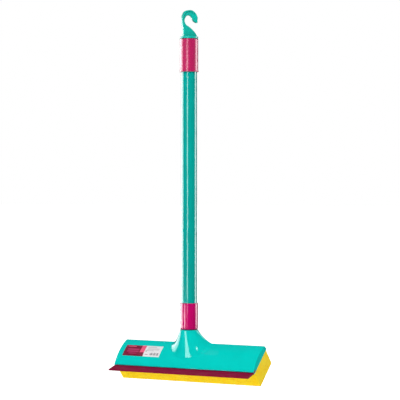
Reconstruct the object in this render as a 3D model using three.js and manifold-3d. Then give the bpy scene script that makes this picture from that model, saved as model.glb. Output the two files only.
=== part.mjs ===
// A window-cleaning squeegee: a coated steel tube with a swivelling hook at its top and a
// screw-on head at its foot. The head carries a rubber blade in front and a sponge beneath.
//
// Millimetres, +Z up the handle, +X along the head, -Y towards the blade's side.
// The origin is the point inside the hook where it hangs on a peg, on the handle's axis.

import * as THREE from "three";
import { mergeVertices } from "three/addons/utils/BufferGeometryUtils.js";
import Module from "manifold-3d";

const wasm = await Module();
wasm.setup();

// Colours
const TURQUOISE = 0x00c8ba;
const TEAL = 0x00aa9c;
const MAGENTA = 0xc30d66;
const SOFT_MAGENTA = 0xbc3268;
const CRIMSON = 0x82002d;
const YELLOW = 0xf5cd14;
const STEEL = 0xb4b8ba;
const WHITE = 0xf2f2f0;
const DARK_RUBBER = 0x3a3044;

// Heights along the handle
const CAP_SEAT_Z = -36.6;
const CAP_TO_RIM = 456.6;
const RIM_Z = CAP_SEAT_Z - CAP_TO_RIM;
const RUNNING_GAP = 0.3;
const FIT_GAP = 0.08;
const ROUND_SEGMENTS = 36;
const SMALL_ROUND_SEGMENTS = 16;
const PEG_SEGMENTS = 12;

// Tube
const TUBE_RADIUS = 12.5;
const COATING_WALL = 0.4;
const STEEL_WALL = 0.5;
const TUBE_TOP_INSET = 1.2;
const TUBE_FOOT_ABOVE_RIM = 6.5;

// Grip sleeve
const GRIP_RADIUS = 14.5;
const GRIP_LENGTH = 52;
const GRIP_BEAD_RADIUS = 15;
const GRIP_BEAD_HEIGHT = 2.2;
const GRIP_BEAD_SLOPE = 0.8;
const GRIP_EDGE = 0.5;

// Hook cap
const HOOK_TURN = THREE.MathUtils.degToRad(57.7);
const HOOK_THICKNESS = 6;
const FLANGE_RADIUS = 14.4;
const FLANGE_HEIGHT = 3.6;
const FLANGE_EDGE = 0.6;
const STEM_RADIUS = 4;
const STEM_LENGTH = 20.4;
const BARB_RADIUS = 4.9;
const BARB_LENGTH = 3;
const BARB_BAND = 0.8;
const BARB_TAPER = 1;
const BUSH_LENGTH = 19;
const HOOK_BACK_STEPS = 30;
const HOOK_THROAT_STEPS = 40;
const HOOK_BACK = [
  [-11, 2.4], [-11, 15], [-11.7, 19], [-13, 25], [-13.3, 30.6], [-12.1, 36.4],
  [-8.5, 41.9], [-1.3, 45.2], [5.1, 44.6], [10.5, 41.1], [13.5, 36.4], [14.4, 33.2],
];
const HOOK_POINT = [[13.6, 29.9], [14.1, 26.6]];
const HOOK_THROAT = [
  [12.8, 25.4], [8.9, 26.9], [6, 30.2], [3.7, 33.8], [1.5, 35.9], [-1.3, 36.6],
  [-4.9, 35.4], [-7.2, 32.2], [-8.3, 28.2], [-7.8, 24.6], [-5.8, 21.4], [-1.3, 19],
  [3.3, 15.8], [7.8, 11.8], [11.4, 7.8], [12.8, 4.8], [13, 2.4],
];
const GROOVE_CENTRE = [0, 30.6];
const GROOVE_RADII = [9.3, 11.9];
const GROOVE_DEPTH = 1.5;
const GROOVE_OVERCUT = 0.01;
const GROOVE_START = THREE.MathUtils.degToRad(25);
const GROOVE_END = THREE.MathUtils.degToRad(200);

// Screw coupling between the tube and the head
const COLLAR_RADIUS = 14;
const COLLAR_TOP = 42;
const COLLAR_FOOT = 1.2;
const COLLAR_ROUNDING = 1.6;
const COLLAR_ROUNDING_BOW = 0.48;
const COLLAR_EDGE = 0.5;
const COLLAR_BOTTOM_WALL = 5;
const SPIGOT_RADIUS = 9.6;
const SPIGOT_LENGTH = 22;
const SPIGOT_BORE = 6.8;
const SPIGOT_EDGE = 1;
const THREAD_PITCH = 5;
const THREAD_TURNS = 3.4;
const THREAD_FOOT = -19.6;
const THREAD_SECTION = 1.3;
const THREAD_CLEARANCE = 0.4;
const THREAD_STEPS_PER_TURN = 14;
const RING_RADII = [10.3, 13.3];
const RING_FACE_GAP = 0.15;

// Head, in its own frame: X along it, Y across it towards the back, Z off the sponge.
const HEAD_TILT = THREE.MathUtils.degToRad(41.6);
const HEAD_PLACE = new THREE.Vector3(0, 5.71, RIM_Z - 46.84);
const HEAD_LENGTH = 250;
const SHELL_WALL = 2;
const SHELL_FOOT = 4.4;
const SHOULDER_WALL = 0.8;
const HOLLOW_OVERCUT = 2;
const CROWN_RADIUS = 78;
const CROWN_TOP = 15.8;
const CROWN_Y = 1.5;
const CROWN_STEPS = 12;
const LIP_Y = -28.2;
const LIP_UNDERSIDE = 8.25;
const LIP_EDGE = [0.4, 0.5];
const BACK_TOP_Y = 24.2;
const BACK_SHOULDER = [25.3, 11.3];
const BACK_FOOT_Y = 26.6;
const CHANNEL_CENTRE = [-22.8, 7];
const CHANNEL_RADIUS = 2;
const CHANNEL_STEPS = 12;
const CHANNEL_MOUTH = [5.75, 8.25];
const CHANNEL_JAW_Y = -27.2;
const CHANNEL_BACK_Y = -18.8;
const RIB_PLACES = [-84, -50, 50, 84];
const RIB_THICKNESS = 1.8;
const RIB_SEAT = [1, 0.4];
const BOSS_PLACES = [-104, -66, 66, 104];
const BOSS_Y = 3;
const BOSS_RADIUS = 3.6;
const BOSS_BORE = 1.9;
const BOSS_SEAT = 1;

// Socket that flares out of the shell
const RIM_RADIUS = 14.7;
const SOCKET_BORE = 10.1;
const SOCKET_BORE_DEPTH = 26;
const SOCKET_CORE = 6.5;
const SOCKET_CORE_DEPTH = 43;
const CORE_SEGMENTS = 24;
const SOCKET_WALL = 2.6;
const SOCKET_TUBE_HEIGHTS = [-27, -2];
const SOCKET_GROOVE_RUN_OUT = 1;
const FLARE_SIDE = 38;
const FLARE_MID_Y = 24;
const FLARE_FRONT_Y = -15;
const FLARE_COLLAR = 0.03;
const FLARE_SWEEP = 0.28;
const FLARE_SWEEP_SWING = 0.14;
const FLARE_AROUND = 36;
const FLARE_RINGS = 7;
const FLARE_SEAT = 1;
const FLARE_INSET_SPAN = 22.05;
const HOLLOW_START = 0.22;

// Plate, sponge, blade and label
const PLATE_THICKNESS = 2;
const PEG_RADIUS = 1.6;
const PEG_HEIGHT = 5;
const PEG_END_GAP = 0.6;
const PEG_SEAT = 1;
const PLATE_TAPER = 0.4;
const SPONGE_LENGTH = 249.6;
const SPONGE_FRONT = -25;
const SPONGE_BACK = 24.7;
const SPONGE_FOOT = -26;
const BLADE_LENGTH = 250;
const BEAD_RADIUS = 1.65;
const BEAD_STEPS = 12;
const BLADE_NECK = [6.1, 7.9];
const BLADE_NECK_STEP = 0.4;
const BLADE_TOP = [[-28.6, 8], [-45.7, 16.2]];
const BLADE_BOTTOM = [[-28.2, 5.3], [-46.4, 14.3]];
const LABEL_SPAN = [-115, -47.5];
const LABEL_ACROSS = [-12.8, 9.3];
const LABEL_LIFT = [0.12, 0.34];
const LABEL_STEPS = 10;

// ---------------------------------------------------------------- solids and placing

/** Reads a closed geometry as a solid that can be joined and cut. */
function solidFrom(geometry) {
  const bare = geometry.clone();
  bare.deleteAttribute("normal");
  bare.deleteAttribute("uv");
  const merged = mergeVertices(bare, 1e-4);
  return new wasm.Manifold(
    new wasm.Mesh({
      numProp: 3,
      vertProperties: merged.attributes.position.array,
      triVerts: new Uint32Array(merged.index.array),
    }),
  );
}

/** Turns a joined or cut solid back into a geometry. */
function geometryFrom(solid) {
  const mesh = solid.getMesh();
  const geometry = new THREE.BufferGeometry();
  geometry.setAttribute("position", new THREE.BufferAttribute(mesh.vertProperties, 3));
  geometry.setIndex(new THREE.BufferAttribute(mesh.triVerts, 1));
  geometry.computeVertexNormals();
  return geometry;
}

/** A shape through the given corners. */
function shapeOf(corners) {
  return new THREE.Shape(corners.map(([x, y]) => new THREE.Vector2(x, y)));
}

/** Extrudes a section drawn in the head's Y and Z along the head, between two X. */
function alongHead(section, fromX, toX) {
  const geometry = new THREE.ExtrudeGeometry(section, {
    depth: toX - fromX,
    bevelEnabled: false,
    curveSegments: 10,
  });
  geometry.translate(0, 0, fromX);
  const basis = new THREE.Matrix4().makeBasis(
    new THREE.Vector3(0, 1, 0),
    new THREE.Vector3(0, 0, 1),
    new THREE.Vector3(1, 0, 0),
  );
  return geometry.applyMatrix4(basis);
}

/** A round solid about Z from a closed profile of [radius, height] corners. */
function turned(profile, segments = ROUND_SEGMENTS) {
  const points = profile.map(([r, z]) => new THREE.Vector2(r, z));
  const geometry = new THREE.LatheGeometry(points, segments);
  return geometry.rotateX(Math.PI / 2);
}

/** A tube about Z, closed at both end faces. */
function turnedTube(inner, outer, foot, top) {
  return turned([
    [inner, foot],
    [outer, foot],
    [outer, top],
    [inner, top],
    [inner, foot],
  ]);
}

/** A rod about Z. */
function turnedRod(radius, foot, top, segments = ROUND_SEGMENTS) {
  return turned(
    [
      [0, foot],
      [radius, foot],
      [radius, top],
      [0, top],
    ],
    segments,
  );
}

/** Plastic or rubber of one colour. */
function plastic(color, roughness) {
  return new THREE.MeshStandardMaterial({ color, roughness, metalness: 0 });
}

/** A named mesh. */
function piece(name, geometry, material) {
  const mesh = new THREE.Mesh(geometry, material);
  mesh.name = name;
  return mesh;
}

// ---------------------------------------------------------------- hook and handle

/** The hook's flat outline, standing on the flange. */
function hookOutline() {
  const smooth = (corners, steps) =>
    new THREE.SplineCurve(corners.map(([x, y]) => new THREE.Vector2(x, y))).getPoints(steps);
  const back = smooth(HOOK_BACK, HOOK_BACK_STEPS);
  const throat = smooth(HOOK_THROAT, HOOK_THROAT_STEPS);
  const point = HOOK_POINT.map(([x, y]) => new THREE.Vector2(x, y));
  return new THREE.Shape([...back, ...point, ...throat]);
}

/** The shallow recess that follows the hook's bend. */
function hookGroove() {
  const [x, y] = GROOVE_CENTRE;
  const [inner, outer] = GROOVE_RADII;
  const groove = new THREE.Shape();
  groove.absarc(x, y, outer, GROOVE_START, GROOVE_END, false);
  groove.absarc(x, y, inner, GROOVE_END, GROOVE_START, true);
  return groove;
}

/** Stands a flat shape upright, centred on its own middle plane, and gives its solid. */
function uprightSolid(shape, depth, middle) {
  const geometry = new THREE.ExtrudeGeometry(shape, {
    depth,
    bevelEnabled: false,
    curveSegments: 14,
  });
  geometry.translate(0, 0, -depth / 2 - middle);
  return solidFrom(geometry.rotateX(Math.PI / 2));
}

/** The end cap: a round flange, the flat hook on it and the snap stem beneath. */
function hookCap() {
  const barbTop = -STEM_LENGTH;
  const barbFoot = barbTop - BARB_LENGTH;
  const round = solidFrom(
    turned([
      [0, barbFoot],
      [STEM_RADIUS - BARB_TAPER, barbFoot],
      [BARB_RADIUS, barbTop - BARB_BAND],
      [BARB_RADIUS, barbTop],
      [STEM_RADIUS, barbTop],
      [STEM_RADIUS, 0],
      [FLANGE_RADIUS, 0],
      [FLANGE_RADIUS, FLANGE_HEIGHT - FLANGE_EDGE],
      [FLANGE_RADIUS - FLANGE_EDGE, FLANGE_HEIGHT],
      [0, FLANGE_HEIGHT],
    ]),
  );
  let cap = round.add(uprightSolid(hookOutline(), HOOK_THICKNESS, 0));
  const face = HOOK_THICKNESS / 2 - GROOVE_DEPTH / 2;
  for (const side of [-1, 1]) {
    const cut = GROOVE_DEPTH + 2 * GROOVE_OVERCUT;
    cap = cap.subtract(uprightSolid(hookGroove(), cut, side * (face + GROOVE_OVERCUT)));
  }
  return geometryFrom(cap);
}

/** The plug in the tube's mouth that the hook's stem turns in. */
function hookBush() {
  const outer = TUBE_RADIUS - COATING_WALL - FIT_GAP - STEEL_WALL - FIT_GAP;
  return turnedTube(STEM_RADIUS + RUNNING_GAP, outer, -RUNNING_GAP - BUSH_LENGTH, -RUNNING_GAP);
}

/** The soft grip sleeve over the top of the tube, with a bead round its lower edge. */
function gripSleeve() {
  const top = -RUNNING_GAP;
  const foot = -GRIP_LENGTH;
  const bore = TUBE_RADIUS + FIT_GAP;
  return turned([
    [bore, foot],
    [GRIP_BEAD_RADIUS - GRIP_EDGE, foot],
    [GRIP_BEAD_RADIUS, foot + GRIP_EDGE],
    [GRIP_BEAD_RADIUS, foot + GRIP_BEAD_HEIGHT - GRIP_BEAD_SLOPE],
    [GRIP_RADIUS, foot + GRIP_BEAD_HEIGHT],
    [GRIP_RADIUS, top - GRIP_EDGE],
    [GRIP_RADIUS - GRIP_EDGE, top],
    [bore, top],
    [bore, foot],
  ]);
}

/** The handle's top assembly: what hangs from the cap's seat. */
function handleTop() {
  const group = new THREE.Group();
  group.position.z = CAP_SEAT_Z;
  const cap = piece("hook_cap", hookCap(), plastic(TEAL, 0.35));
  cap.rotation.z = HOOK_TURN;
  group.add(cap);
  group.add(piece("hook_bush", hookBush(), plastic(WHITE, 0.5)));
  group.add(piece("grip_sleeve", gripSleeve(), plastic(SOFT_MAGENTA, 0.4)));
  return group;
}

/** The steel tube and the thin plastic skin drawn over it. */
function tube() {
  const group = new THREE.Group();
  const top = CAP_SEAT_Z - TUBE_TOP_INSET;
  const foot = RIM_Z + TUBE_FOOT_ABOVE_RIM;
  const steelRadius = TUBE_RADIUS - COATING_WALL - FIT_GAP;
  const metal = new THREE.MeshStandardMaterial({ color: STEEL, roughness: 0.35, metalness: 1 });
  const steel = turnedTube(steelRadius - STEEL_WALL, steelRadius, foot, top);
  const skin = turnedTube(TUBE_RADIUS - COATING_WALL, TUBE_RADIUS, foot, top);
  group.add(piece("steel_tube", steel, metal));
  group.add(piece("tube_coating", skin, plastic(TEAL, 0.25)));
  return group;
}

// ---------------------------------------------------------------- screw coupling

/** The line that the coupling's thread follows, from its foot upwards. */
class ThreadLine extends THREE.Curve {
  constructor(radius, foot, turns) {
    super();
    this.radius = radius;
    this.foot = foot;
    this.turns = turns;
  }

  getPoint(t, target = new THREE.Vector3()) {
    const turn = (this.foot - THREAD_FOOT) / THREAD_PITCH + t * this.turns;
    const angle = turn * 2 * Math.PI;
    return target.set(
      this.radius * Math.cos(angle),
      this.radius * Math.sin(angle),
      THREAD_FOOT + turn * THREAD_PITCH,
    );
  }
}

/** A round-section ridge along the thread's line. */
function threadRidge(section, foot, turns) {
  const round = new THREE.Shape();
  round.absarc(0, 0, section, 0, 2 * Math.PI, false);
  return solidFrom(
    new THREE.ExtrudeGeometry(round, {
      extrudePath: new ThreadLine(SPIGOT_RADIUS, foot, turns),
      steps: Math.round(turns * THREAD_STEPS_PER_TURN),
      curveSegments: 5,
      bevelEnabled: false,
    }),
  );
}

/** The collar that holds the tube's foot, with the threaded spigot beneath it. */
function screwCoupling() {
  const cupBore = TUBE_RADIUS + FIT_GAP;
  const cupFloor = COLLAR_FOOT + COLLAR_BOTTOM_WALL;
  const body = solidFrom(
    turned([
      [SPIGOT_BORE, -SPIGOT_LENGTH],
      [SPIGOT_RADIUS - SPIGOT_EDGE, -SPIGOT_LENGTH],
      [SPIGOT_RADIUS, SPIGOT_EDGE - SPIGOT_LENGTH],
      [SPIGOT_RADIUS, COLLAR_FOOT],
      [COLLAR_RADIUS - COLLAR_ROUNDING, COLLAR_FOOT],
      [COLLAR_RADIUS - COLLAR_ROUNDING_BOW, COLLAR_FOOT + COLLAR_ROUNDING_BOW],
      [COLLAR_RADIUS, COLLAR_FOOT + COLLAR_ROUNDING],
      [COLLAR_RADIUS, COLLAR_TOP - COLLAR_EDGE],
      [COLLAR_RADIUS - COLLAR_EDGE, COLLAR_TOP],
      [cupBore, COLLAR_TOP],
      [cupBore, cupFloor],
      [SPIGOT_BORE, cupFloor],
      [SPIGOT_BORE, -SPIGOT_LENGTH],
    ]),
  );
  return geometryFrom(body.add(threadRidge(THREAD_SECTION, THREAD_FOOT, THREAD_TURNS)));
}

/** The seal ring between the collar and the socket's rim. */
function sealRing() {
  const [inner, outer] = RING_RADII;
  return turnedTube(inner, outer, RING_FACE_GAP, COLLAR_FOOT - RING_FACE_GAP);
}

/** What screws into the head, placed at the socket's rim. */
function couplingGroup() {
  const group = new THREE.Group();
  group.position.z = RIM_Z;
  group.add(piece("screw_coupling", screwCoupling(), plastic(MAGENTA, 0.2)));
  group.add(piece("seal_ring", sealRing(), plastic(DARK_RUBBER, 0.7)));
  return group;
}

// ---------------------------------------------------------------- head shell

/** Height of the shell's crowned top above the head's frame, at a given Y. */
function crown(y, drop = 0) {
  const radius = CROWN_RADIUS - drop;
  return CROWN_TOP - CROWN_RADIUS + Math.sqrt(radius ** 2 - (y - CROWN_Y) ** 2);
}

/** Corners along the crown from one Y to another. */
function crownCorners(fromY, toY, steps, drop = 0) {
  return Array.from({ length: steps + 1 }, (_, i) => {
    const y = fromY + ((toY - fromY) * i) / steps;
    return [y, crown(y, drop)];
  });
}

/** Corners round the blade's channel, from the top of its mouth to the bottom. */
function channelCorners() {
  const [cy, cz] = CHANNEL_CENTRE;
  const [low, high] = CHANNEL_MOUTH;
  const start = Math.asin((high - cz) / CHANNEL_RADIUS);
  const end = Math.asin((low - cz) / CHANNEL_RADIUS);
  return Array.from({ length: CHANNEL_STEPS + 1 }, (_, i) => {
    const angle = Math.PI - start - ((2 * Math.PI - start + end) * i) / CHANNEL_STEPS;
    return [cy + CHANNEL_RADIUS * Math.cos(angle), cz + CHANNEL_RADIUS * Math.sin(angle)];
  });
}

/** The shell's outer section, with the channel open to the front. */
function shellSection() {
  return shapeOf([
    [LIP_Y, LIP_UNDERSIDE],
    ...channelCorners(),
    [CHANNEL_JAW_Y, CHANNEL_MOUTH[0]],
    [CHANNEL_JAW_Y, SHELL_FOOT],
    [BACK_FOOT_Y, SHELL_FOOT],
    BACK_SHOULDER,
    ...crownCorners(BACK_TOP_Y, LIP_Y + LIP_EDGE[0], CROWN_STEPS),
    [LIP_Y, crown(LIP_Y) - LIP_EDGE[1]],
  ]);
}

/** The hollow under the shell, open at its foot. */
function hollowSection() {
  const below = SHELL_FOOT - HOLLOW_OVERCUT;
  return shapeOf([
    [CHANNEL_BACK_Y, below],
    [BACK_FOOT_Y - SHELL_WALL, below],
    [BACK_FOOT_Y - SHELL_WALL, SHELL_FOOT],
    [BACK_SHOULDER[0] - SHELL_WALL, BACK_SHOULDER[1] - SHOULDER_WALL],
    ...crownCorners(BACK_TOP_Y - SHELL_WALL, CHANNEL_BACK_Y, CROWN_STEPS, SHELL_WALL),
  ]);
}

/** Places something made about the handle's axis at the rim into the head's frame. */
function fromHandle(geometry) {
  const toHead = new THREE.Matrix4()
    .makeTranslation(HEAD_PLACE)
    .multiply(new THREE.Matrix4().makeRotationX(HEAD_TILT))
    .invert();
  geometry.translate(0, 0, RIM_Z);
  return geometry.applyMatrix4(toHead);
}

/** One point of the flare: around by angle, and from 0 at the rim to 1 on the crown. */
function flarePoint(angle, t, inset, sink) {
  const radius = RIM_RADIUS - inset;
  const rim = new THREE.Vector3(radius * Math.cos(angle), radius * Math.sin(angle), RIM_Z)
    .sub(HEAD_PLACE)
    .applyAxisAngle(new THREE.Vector3(1, 0, 0), -HEAD_TILT);
  const axis = new THREE.Vector3(0, Math.sin(HEAD_TILT), Math.cos(HEAD_TILT));
  const forward = Math.min(Math.sin(angle), 0);
  const reach = 1 - inset / FLARE_INSET_SPAN;
  const footY = FLARE_MID_Y - inset + (FLARE_MID_Y - FLARE_FRONT_Y) * reach * forward;
  const footX = FLARE_SIDE * reach * Math.cos(angle);
  const foot = new THREE.Vector3(footX, footY, crown(footY) - sink);
  const run = rim.distanceTo(foot);
  const outward = new THREE.Vector3(Math.cos(angle), forward, 0);
  const sweep = (FLARE_SWEEP + FLARE_SWEEP_SWING * Math.sin(angle)) * run;
  const curve = new THREE.CubicBezierCurve3(
    rim,
    rim.clone().addScaledVector(axis, -FLARE_COLLAR * run),
    foot.clone().addScaledVector(outward, -sweep),
    foot,
  );
  return curve.getPoint(t);
}

/** The middle of a ring of points. */
function ringCentre(points) {
  const sum = points.reduce((all, one) => all.add(one), new THREE.Vector3());
  return sum.divideScalar(points.length);
}

/** The flare from near the socket's rim out to the shell's crown, closed at both ends. */
function flareSolid(start, inset, sink) {
  const rings = Array.from({ length: FLARE_RINGS + 1 }, (_, ring) => {
    const t = start + ((1 - start) * ring) / FLARE_RINGS;
    return Array.from({ length: FLARE_AROUND }, (__, i) =>
      flarePoint((2 * Math.PI * i) / FLARE_AROUND, t, inset, sink),
    );
  });
  const footCentre = ringCentre(rings[FLARE_RINGS]);
  footCentre.z = crown(footCentre.y) - sink;
  const corners = [...rings.flat(), ringCentre(rings[0]), footCentre].flatMap((p) => [...p]);
  const faces = [];
  const top = corners.length / 3 - 2;
  const bottom = top + 1;
  const last = FLARE_RINGS * FLARE_AROUND;
  for (let i = 0; i < FLARE_AROUND; i += 1) {
    const next = (i + 1) % FLARE_AROUND;
    faces.push(top, i, next, bottom, last + next, last + i);
    for (let ring = 0; ring < FLARE_RINGS; ring += 1) {
      const a = ring * FLARE_AROUND + i;
      const b = ring * FLARE_AROUND + next;
      faces.push(a, a + FLARE_AROUND, b, b, a + FLARE_AROUND, b + FLARE_AROUND);
    }
  }
  const geometry = new THREE.BufferGeometry();
  geometry.setAttribute("position", new THREE.Float32BufferAttribute(corners, 3));
  geometry.setIndex(faces);
  return solidFrom(geometry);
}

/** The ribs across the hollow and the bosses that the plate's pegs press into. */
function shellStiffening() {
  const foot = SHELL_FOOT + PLATE_THICKNESS + RUNNING_GAP;
  const [front, back] = RIB_SEAT;
  const section = shapeOf([
    [CHANNEL_BACK_Y - front, foot],
    [BACK_FOOT_Y - SHELL_WALL + back, foot],
    [BACK_SHOULDER[0] - SHELL_WALL + back, BACK_SHOULDER[1] - SHOULDER_WALL],
    ...crownCorners(BACK_TOP_Y - SHELL_WALL, CHANNEL_BACK_Y - front, CROWN_STEPS, SHELL_WALL / 2),
  ]);
  const ribs = RIB_PLACES.map((x) =>
    solidFrom(alongHead(section, x - RIB_THICKNESS / 2, x + RIB_THICKNESS / 2)),
  );
  const bosses = BOSS_PLACES.map((x) =>
    solidFrom(
      turnedRod(BOSS_RADIUS, foot, CROWN_TOP - BOSS_SEAT, SMALL_ROUND_SEGMENTS).translate(
        x,
        BOSS_Y,
        0,
      ),
    ),
  );
  return ribs.concat(bosses).reduce((all, one) => all.add(one));
}

/** The holes in the bosses. */
function bossBores() {
  const foot = SHELL_FOOT;
  const top = SHELL_FOOT + PLATE_THICKNESS + PEG_HEIGHT + PEG_END_GAP;
  return BOSS_PLACES.map((x) =>
    solidFrom(turnedRod(BOSS_BORE, foot, top, PEG_SEGMENTS).translate(x, BOSS_Y, 0)),
  ).reduce((all, one) => all.add(one));
}

/** The moulded shell: crowned cover, blade channel, flared socket and its inner thread. */
function headShell() {
  const half = HEAD_LENGTH / 2;
  const cover = solidFrom(alongHead(shellSection(), -half, half));
  const hollow = solidFrom(alongHead(hollowSection(), -half + SHELL_WALL, half - SHELL_WALL));
  const collar = SOCKET_BORE + SOCKET_WALL;
  const flare = flareSolid(0, 0, FLARE_SEAT);
  const innerTube = solidFrom(
    fromHandle(turnedRod(collar, ...SOCKET_TUBE_HEIGHTS)),
  ).intersect(flare);
  const bore = solidFrom(fromHandle(turnedRod(SOCKET_BORE, -SOCKET_BORE_DEPTH, 1)));
  const core = solidFrom(
    fromHandle(turnedRod(SOCKET_CORE, -SOCKET_CORE_DEPTH, 0, CORE_SEGMENTS)),
  );
  const groove = threadRidge(
    THREAD_SECTION + THREAD_CLEARANCE,
    THREAD_FOOT - THREAD_PITCH * SOCKET_GROOVE_RUN_OUT,
    THREAD_TURNS + 2 * SOCKET_GROOVE_RUN_OUT,
  );
  const placedGroove = solidFrom(fromHandle(geometryFrom(groove)));
  const shell = cover
    .add(flare)
    .subtract(hollow)
    .subtract(flareSolid(HOLLOW_START, SOCKET_WALL, SHELL_WALL + FLARE_SEAT))
    .add(shellStiffening())
    .add(innerTube)
    .subtract(bore)
    .subtract(core)
    .subtract(placedGroove)
    .subtract(bossBores());
  return geometryFrom(shell);
}

// ---------------------------------------------------------------- plate, sponge, blade, label

/** The plate that closes the shell's foot, with its pegs. */
function spongePlate() {
  const half = HEAD_LENGTH / 2 - SHELL_WALL - RUNNING_GAP;
  const front = CHANNEL_BACK_Y + RUNNING_GAP;
  const back = BACK_FOOT_Y - SHELL_WALL - RUNNING_GAP;
  const top = SHELL_FOOT + PLATE_THICKNESS;
  const sheet = solidFrom(
    alongHead(
      shapeOf([
        [front, SHELL_FOOT],
        [back, SHELL_FOOT],
        [back - PLATE_TAPER, top],
        [front, top],
      ]),
      -half,
      half,
    ),
  );
  const pegs = BOSS_PLACES.map((x) =>
    solidFrom(
      turnedRod(PEG_RADIUS, SHELL_FOOT + PEG_SEAT, top + PEG_HEIGHT, PEG_SEGMENTS).translate(
        x,
        BOSS_Y,
        0,
      ),
    ),
  );
  return geometryFrom(pegs.reduce((all, one) => all.add(one), sheet));
}

/** The sponge block under the plate. */
function sponge() {
  const top = SHELL_FOOT - RUNNING_GAP;
  const section = shapeOf([
    [SPONGE_FRONT, SPONGE_FOOT],
    [SPONGE_BACK, SPONGE_FOOT],
    [SPONGE_BACK, top],
    [SPONGE_FRONT, top],
  ]);
  return alongHead(section, -SPONGE_LENGTH / 2, SPONGE_LENGTH / 2);
}

/** The rubber blade: a bead in the channel, a neck and a tapering lip. */
function blade() {
  const [cy, cz] = CHANNEL_CENTRE;
  const [low, high] = BLADE_NECK;
  const start = Math.asin((high - cz) / BEAD_RADIUS);
  const bead = Array.from({ length: BEAD_STEPS + 1 }, (_, i) => {
    const angle = Math.PI - start - ((2 * Math.PI - 2 * start) * i) / BEAD_STEPS;
    return [cy + BEAD_RADIUS * Math.cos(angle), cz + BEAD_RADIUS * Math.sin(angle)];
  });
  const section = shapeOf([
    BLADE_TOP[1],
    BLADE_TOP[0],
    [BLADE_TOP[0][0] + BLADE_NECK_STEP, high],
    ...bead,
    [BLADE_BOTTOM[0][0], low],
    BLADE_BOTTOM[0],
    BLADE_BOTTOM[1],
  ]);
  return alongHead(section, -BLADE_LENGTH / 2, BLADE_LENGTH / 2);
}

/** The printed film stuck on the crown. */
function label() {
  const [front, back] = LABEL_ACROSS;
  const [inner, outer] = LABEL_LIFT;
  const section = shapeOf([
    ...crownCorners(front, back, LABEL_STEPS, -inner),
    ...crownCorners(back, front, LABEL_STEPS, -outer),
  ]);
  return alongHead(section, ...LABEL_SPAN);
}

/** The whole head, tilted under the handle. */
function head() {
  const group = new THREE.Group();
  group.position.copy(HEAD_PLACE);
  group.rotation.x = HEAD_TILT;
  group.add(piece("head_shell", headShell(), plastic(TURQUOISE, 0.2)));
  group.add(piece("sponge_plate", spongePlate(), plastic(TURQUOISE, 0.5)));
  group.add(piece("sponge", sponge(), plastic(YELLOW, 0.95)));
  group.add(piece("blade", blade(), plastic(CRIMSON, 0.55)));
  group.add(piece("label", label(), plastic(WHITE, 0.3)));
  return group;
}

const squeegee = new THREE.Group();
squeegee.add(handleTop(), tube(), couplingGroup(), head());

export default squeegee;
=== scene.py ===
"""A window-cleaning squeegee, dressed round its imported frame.

A coated steel tube hangs from a swivelling hook and screws into a moulded head that
carries a rubber blade in front and a sponge beneath. Sizes are in millimetres and are
turned into metres when a mesh is made. The frame's origin is inside the hook, +Z runs up
the handle, +X along the head and -Y towards the blade's side.
"""

import logging
import math
from dataclasses import dataclass, field
from enum import Enum

import bmesh
import bpy
import numpy as np
from mathutils import Matrix, Vector


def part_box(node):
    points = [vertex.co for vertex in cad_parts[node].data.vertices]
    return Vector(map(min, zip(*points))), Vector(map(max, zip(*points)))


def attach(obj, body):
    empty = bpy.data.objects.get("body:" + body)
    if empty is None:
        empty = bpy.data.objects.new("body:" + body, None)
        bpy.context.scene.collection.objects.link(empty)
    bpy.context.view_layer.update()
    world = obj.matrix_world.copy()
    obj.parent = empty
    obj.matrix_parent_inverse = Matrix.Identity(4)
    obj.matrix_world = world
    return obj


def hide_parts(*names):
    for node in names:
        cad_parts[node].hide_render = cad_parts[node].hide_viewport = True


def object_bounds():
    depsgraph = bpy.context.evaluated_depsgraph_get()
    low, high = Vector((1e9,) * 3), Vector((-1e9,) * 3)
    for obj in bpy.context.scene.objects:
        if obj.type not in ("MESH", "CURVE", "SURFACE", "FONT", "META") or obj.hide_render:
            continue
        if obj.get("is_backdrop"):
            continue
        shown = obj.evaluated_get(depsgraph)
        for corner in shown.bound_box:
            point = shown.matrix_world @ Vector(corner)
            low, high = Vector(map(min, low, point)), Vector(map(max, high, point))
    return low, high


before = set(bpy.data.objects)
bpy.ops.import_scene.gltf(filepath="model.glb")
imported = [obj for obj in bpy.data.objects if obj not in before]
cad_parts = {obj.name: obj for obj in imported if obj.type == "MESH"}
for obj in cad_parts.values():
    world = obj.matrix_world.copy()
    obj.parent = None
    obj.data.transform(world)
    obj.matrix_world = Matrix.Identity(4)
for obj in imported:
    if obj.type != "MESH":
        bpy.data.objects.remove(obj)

LOG = logging.getLogger("squeegee")
MILLIMETRE = 0.001
WELD_DISTANCE = 2e-6
CREASE_ANGLE = 32.0
Outline = list[tuple[float, float]]
Colour = tuple[float, float, float, float]

# Worn plastic keeps a share of its colour and is lifted towards white; dust is a warm grey.
WORN_SHARE = 0.75
WORN_LIFT = 0.12
DUST_COLOUR = (0.55, 0.54, 0.5, 1.0)

# The handle's heights, and the head's own frame: X along it, Y to its back, Z off the sponge.
CAP_SEAT_Z = -36.6
RIM_Z = -493.2
HEAD_TILT = math.radians(41.6)
HEAD_PLACE = Vector((0.0, 5.71, -540.04))
TO_HEAD = Matrix.Translation(HEAD_PLACE) @ Matrix.Rotation(HEAD_TILT, 4, "X")
TO_RIM = Matrix.Translation((0.0, 0.0, RIM_Z))


class Finish(Enum):
    """The record's material slot that each piece takes its finish from."""

    HOOK = "hook_plastic"
    BUSH = "bush_plastic"
    GRIP = "grip_plastic"
    STEEL = "tube_steel"
    TUBE = "tube_plastic"
    COLLAR = "collar_plastic"
    RING = "ring_rubber"
    SHELL = "shell_plastic"
    PLATE = "plate_plastic"
    SPONGE = "sponge_foam"
    BLADE = "blade_rubber"
    LABEL = "label_film"


# ------------------------------------------------------------------ mesh making


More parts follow.
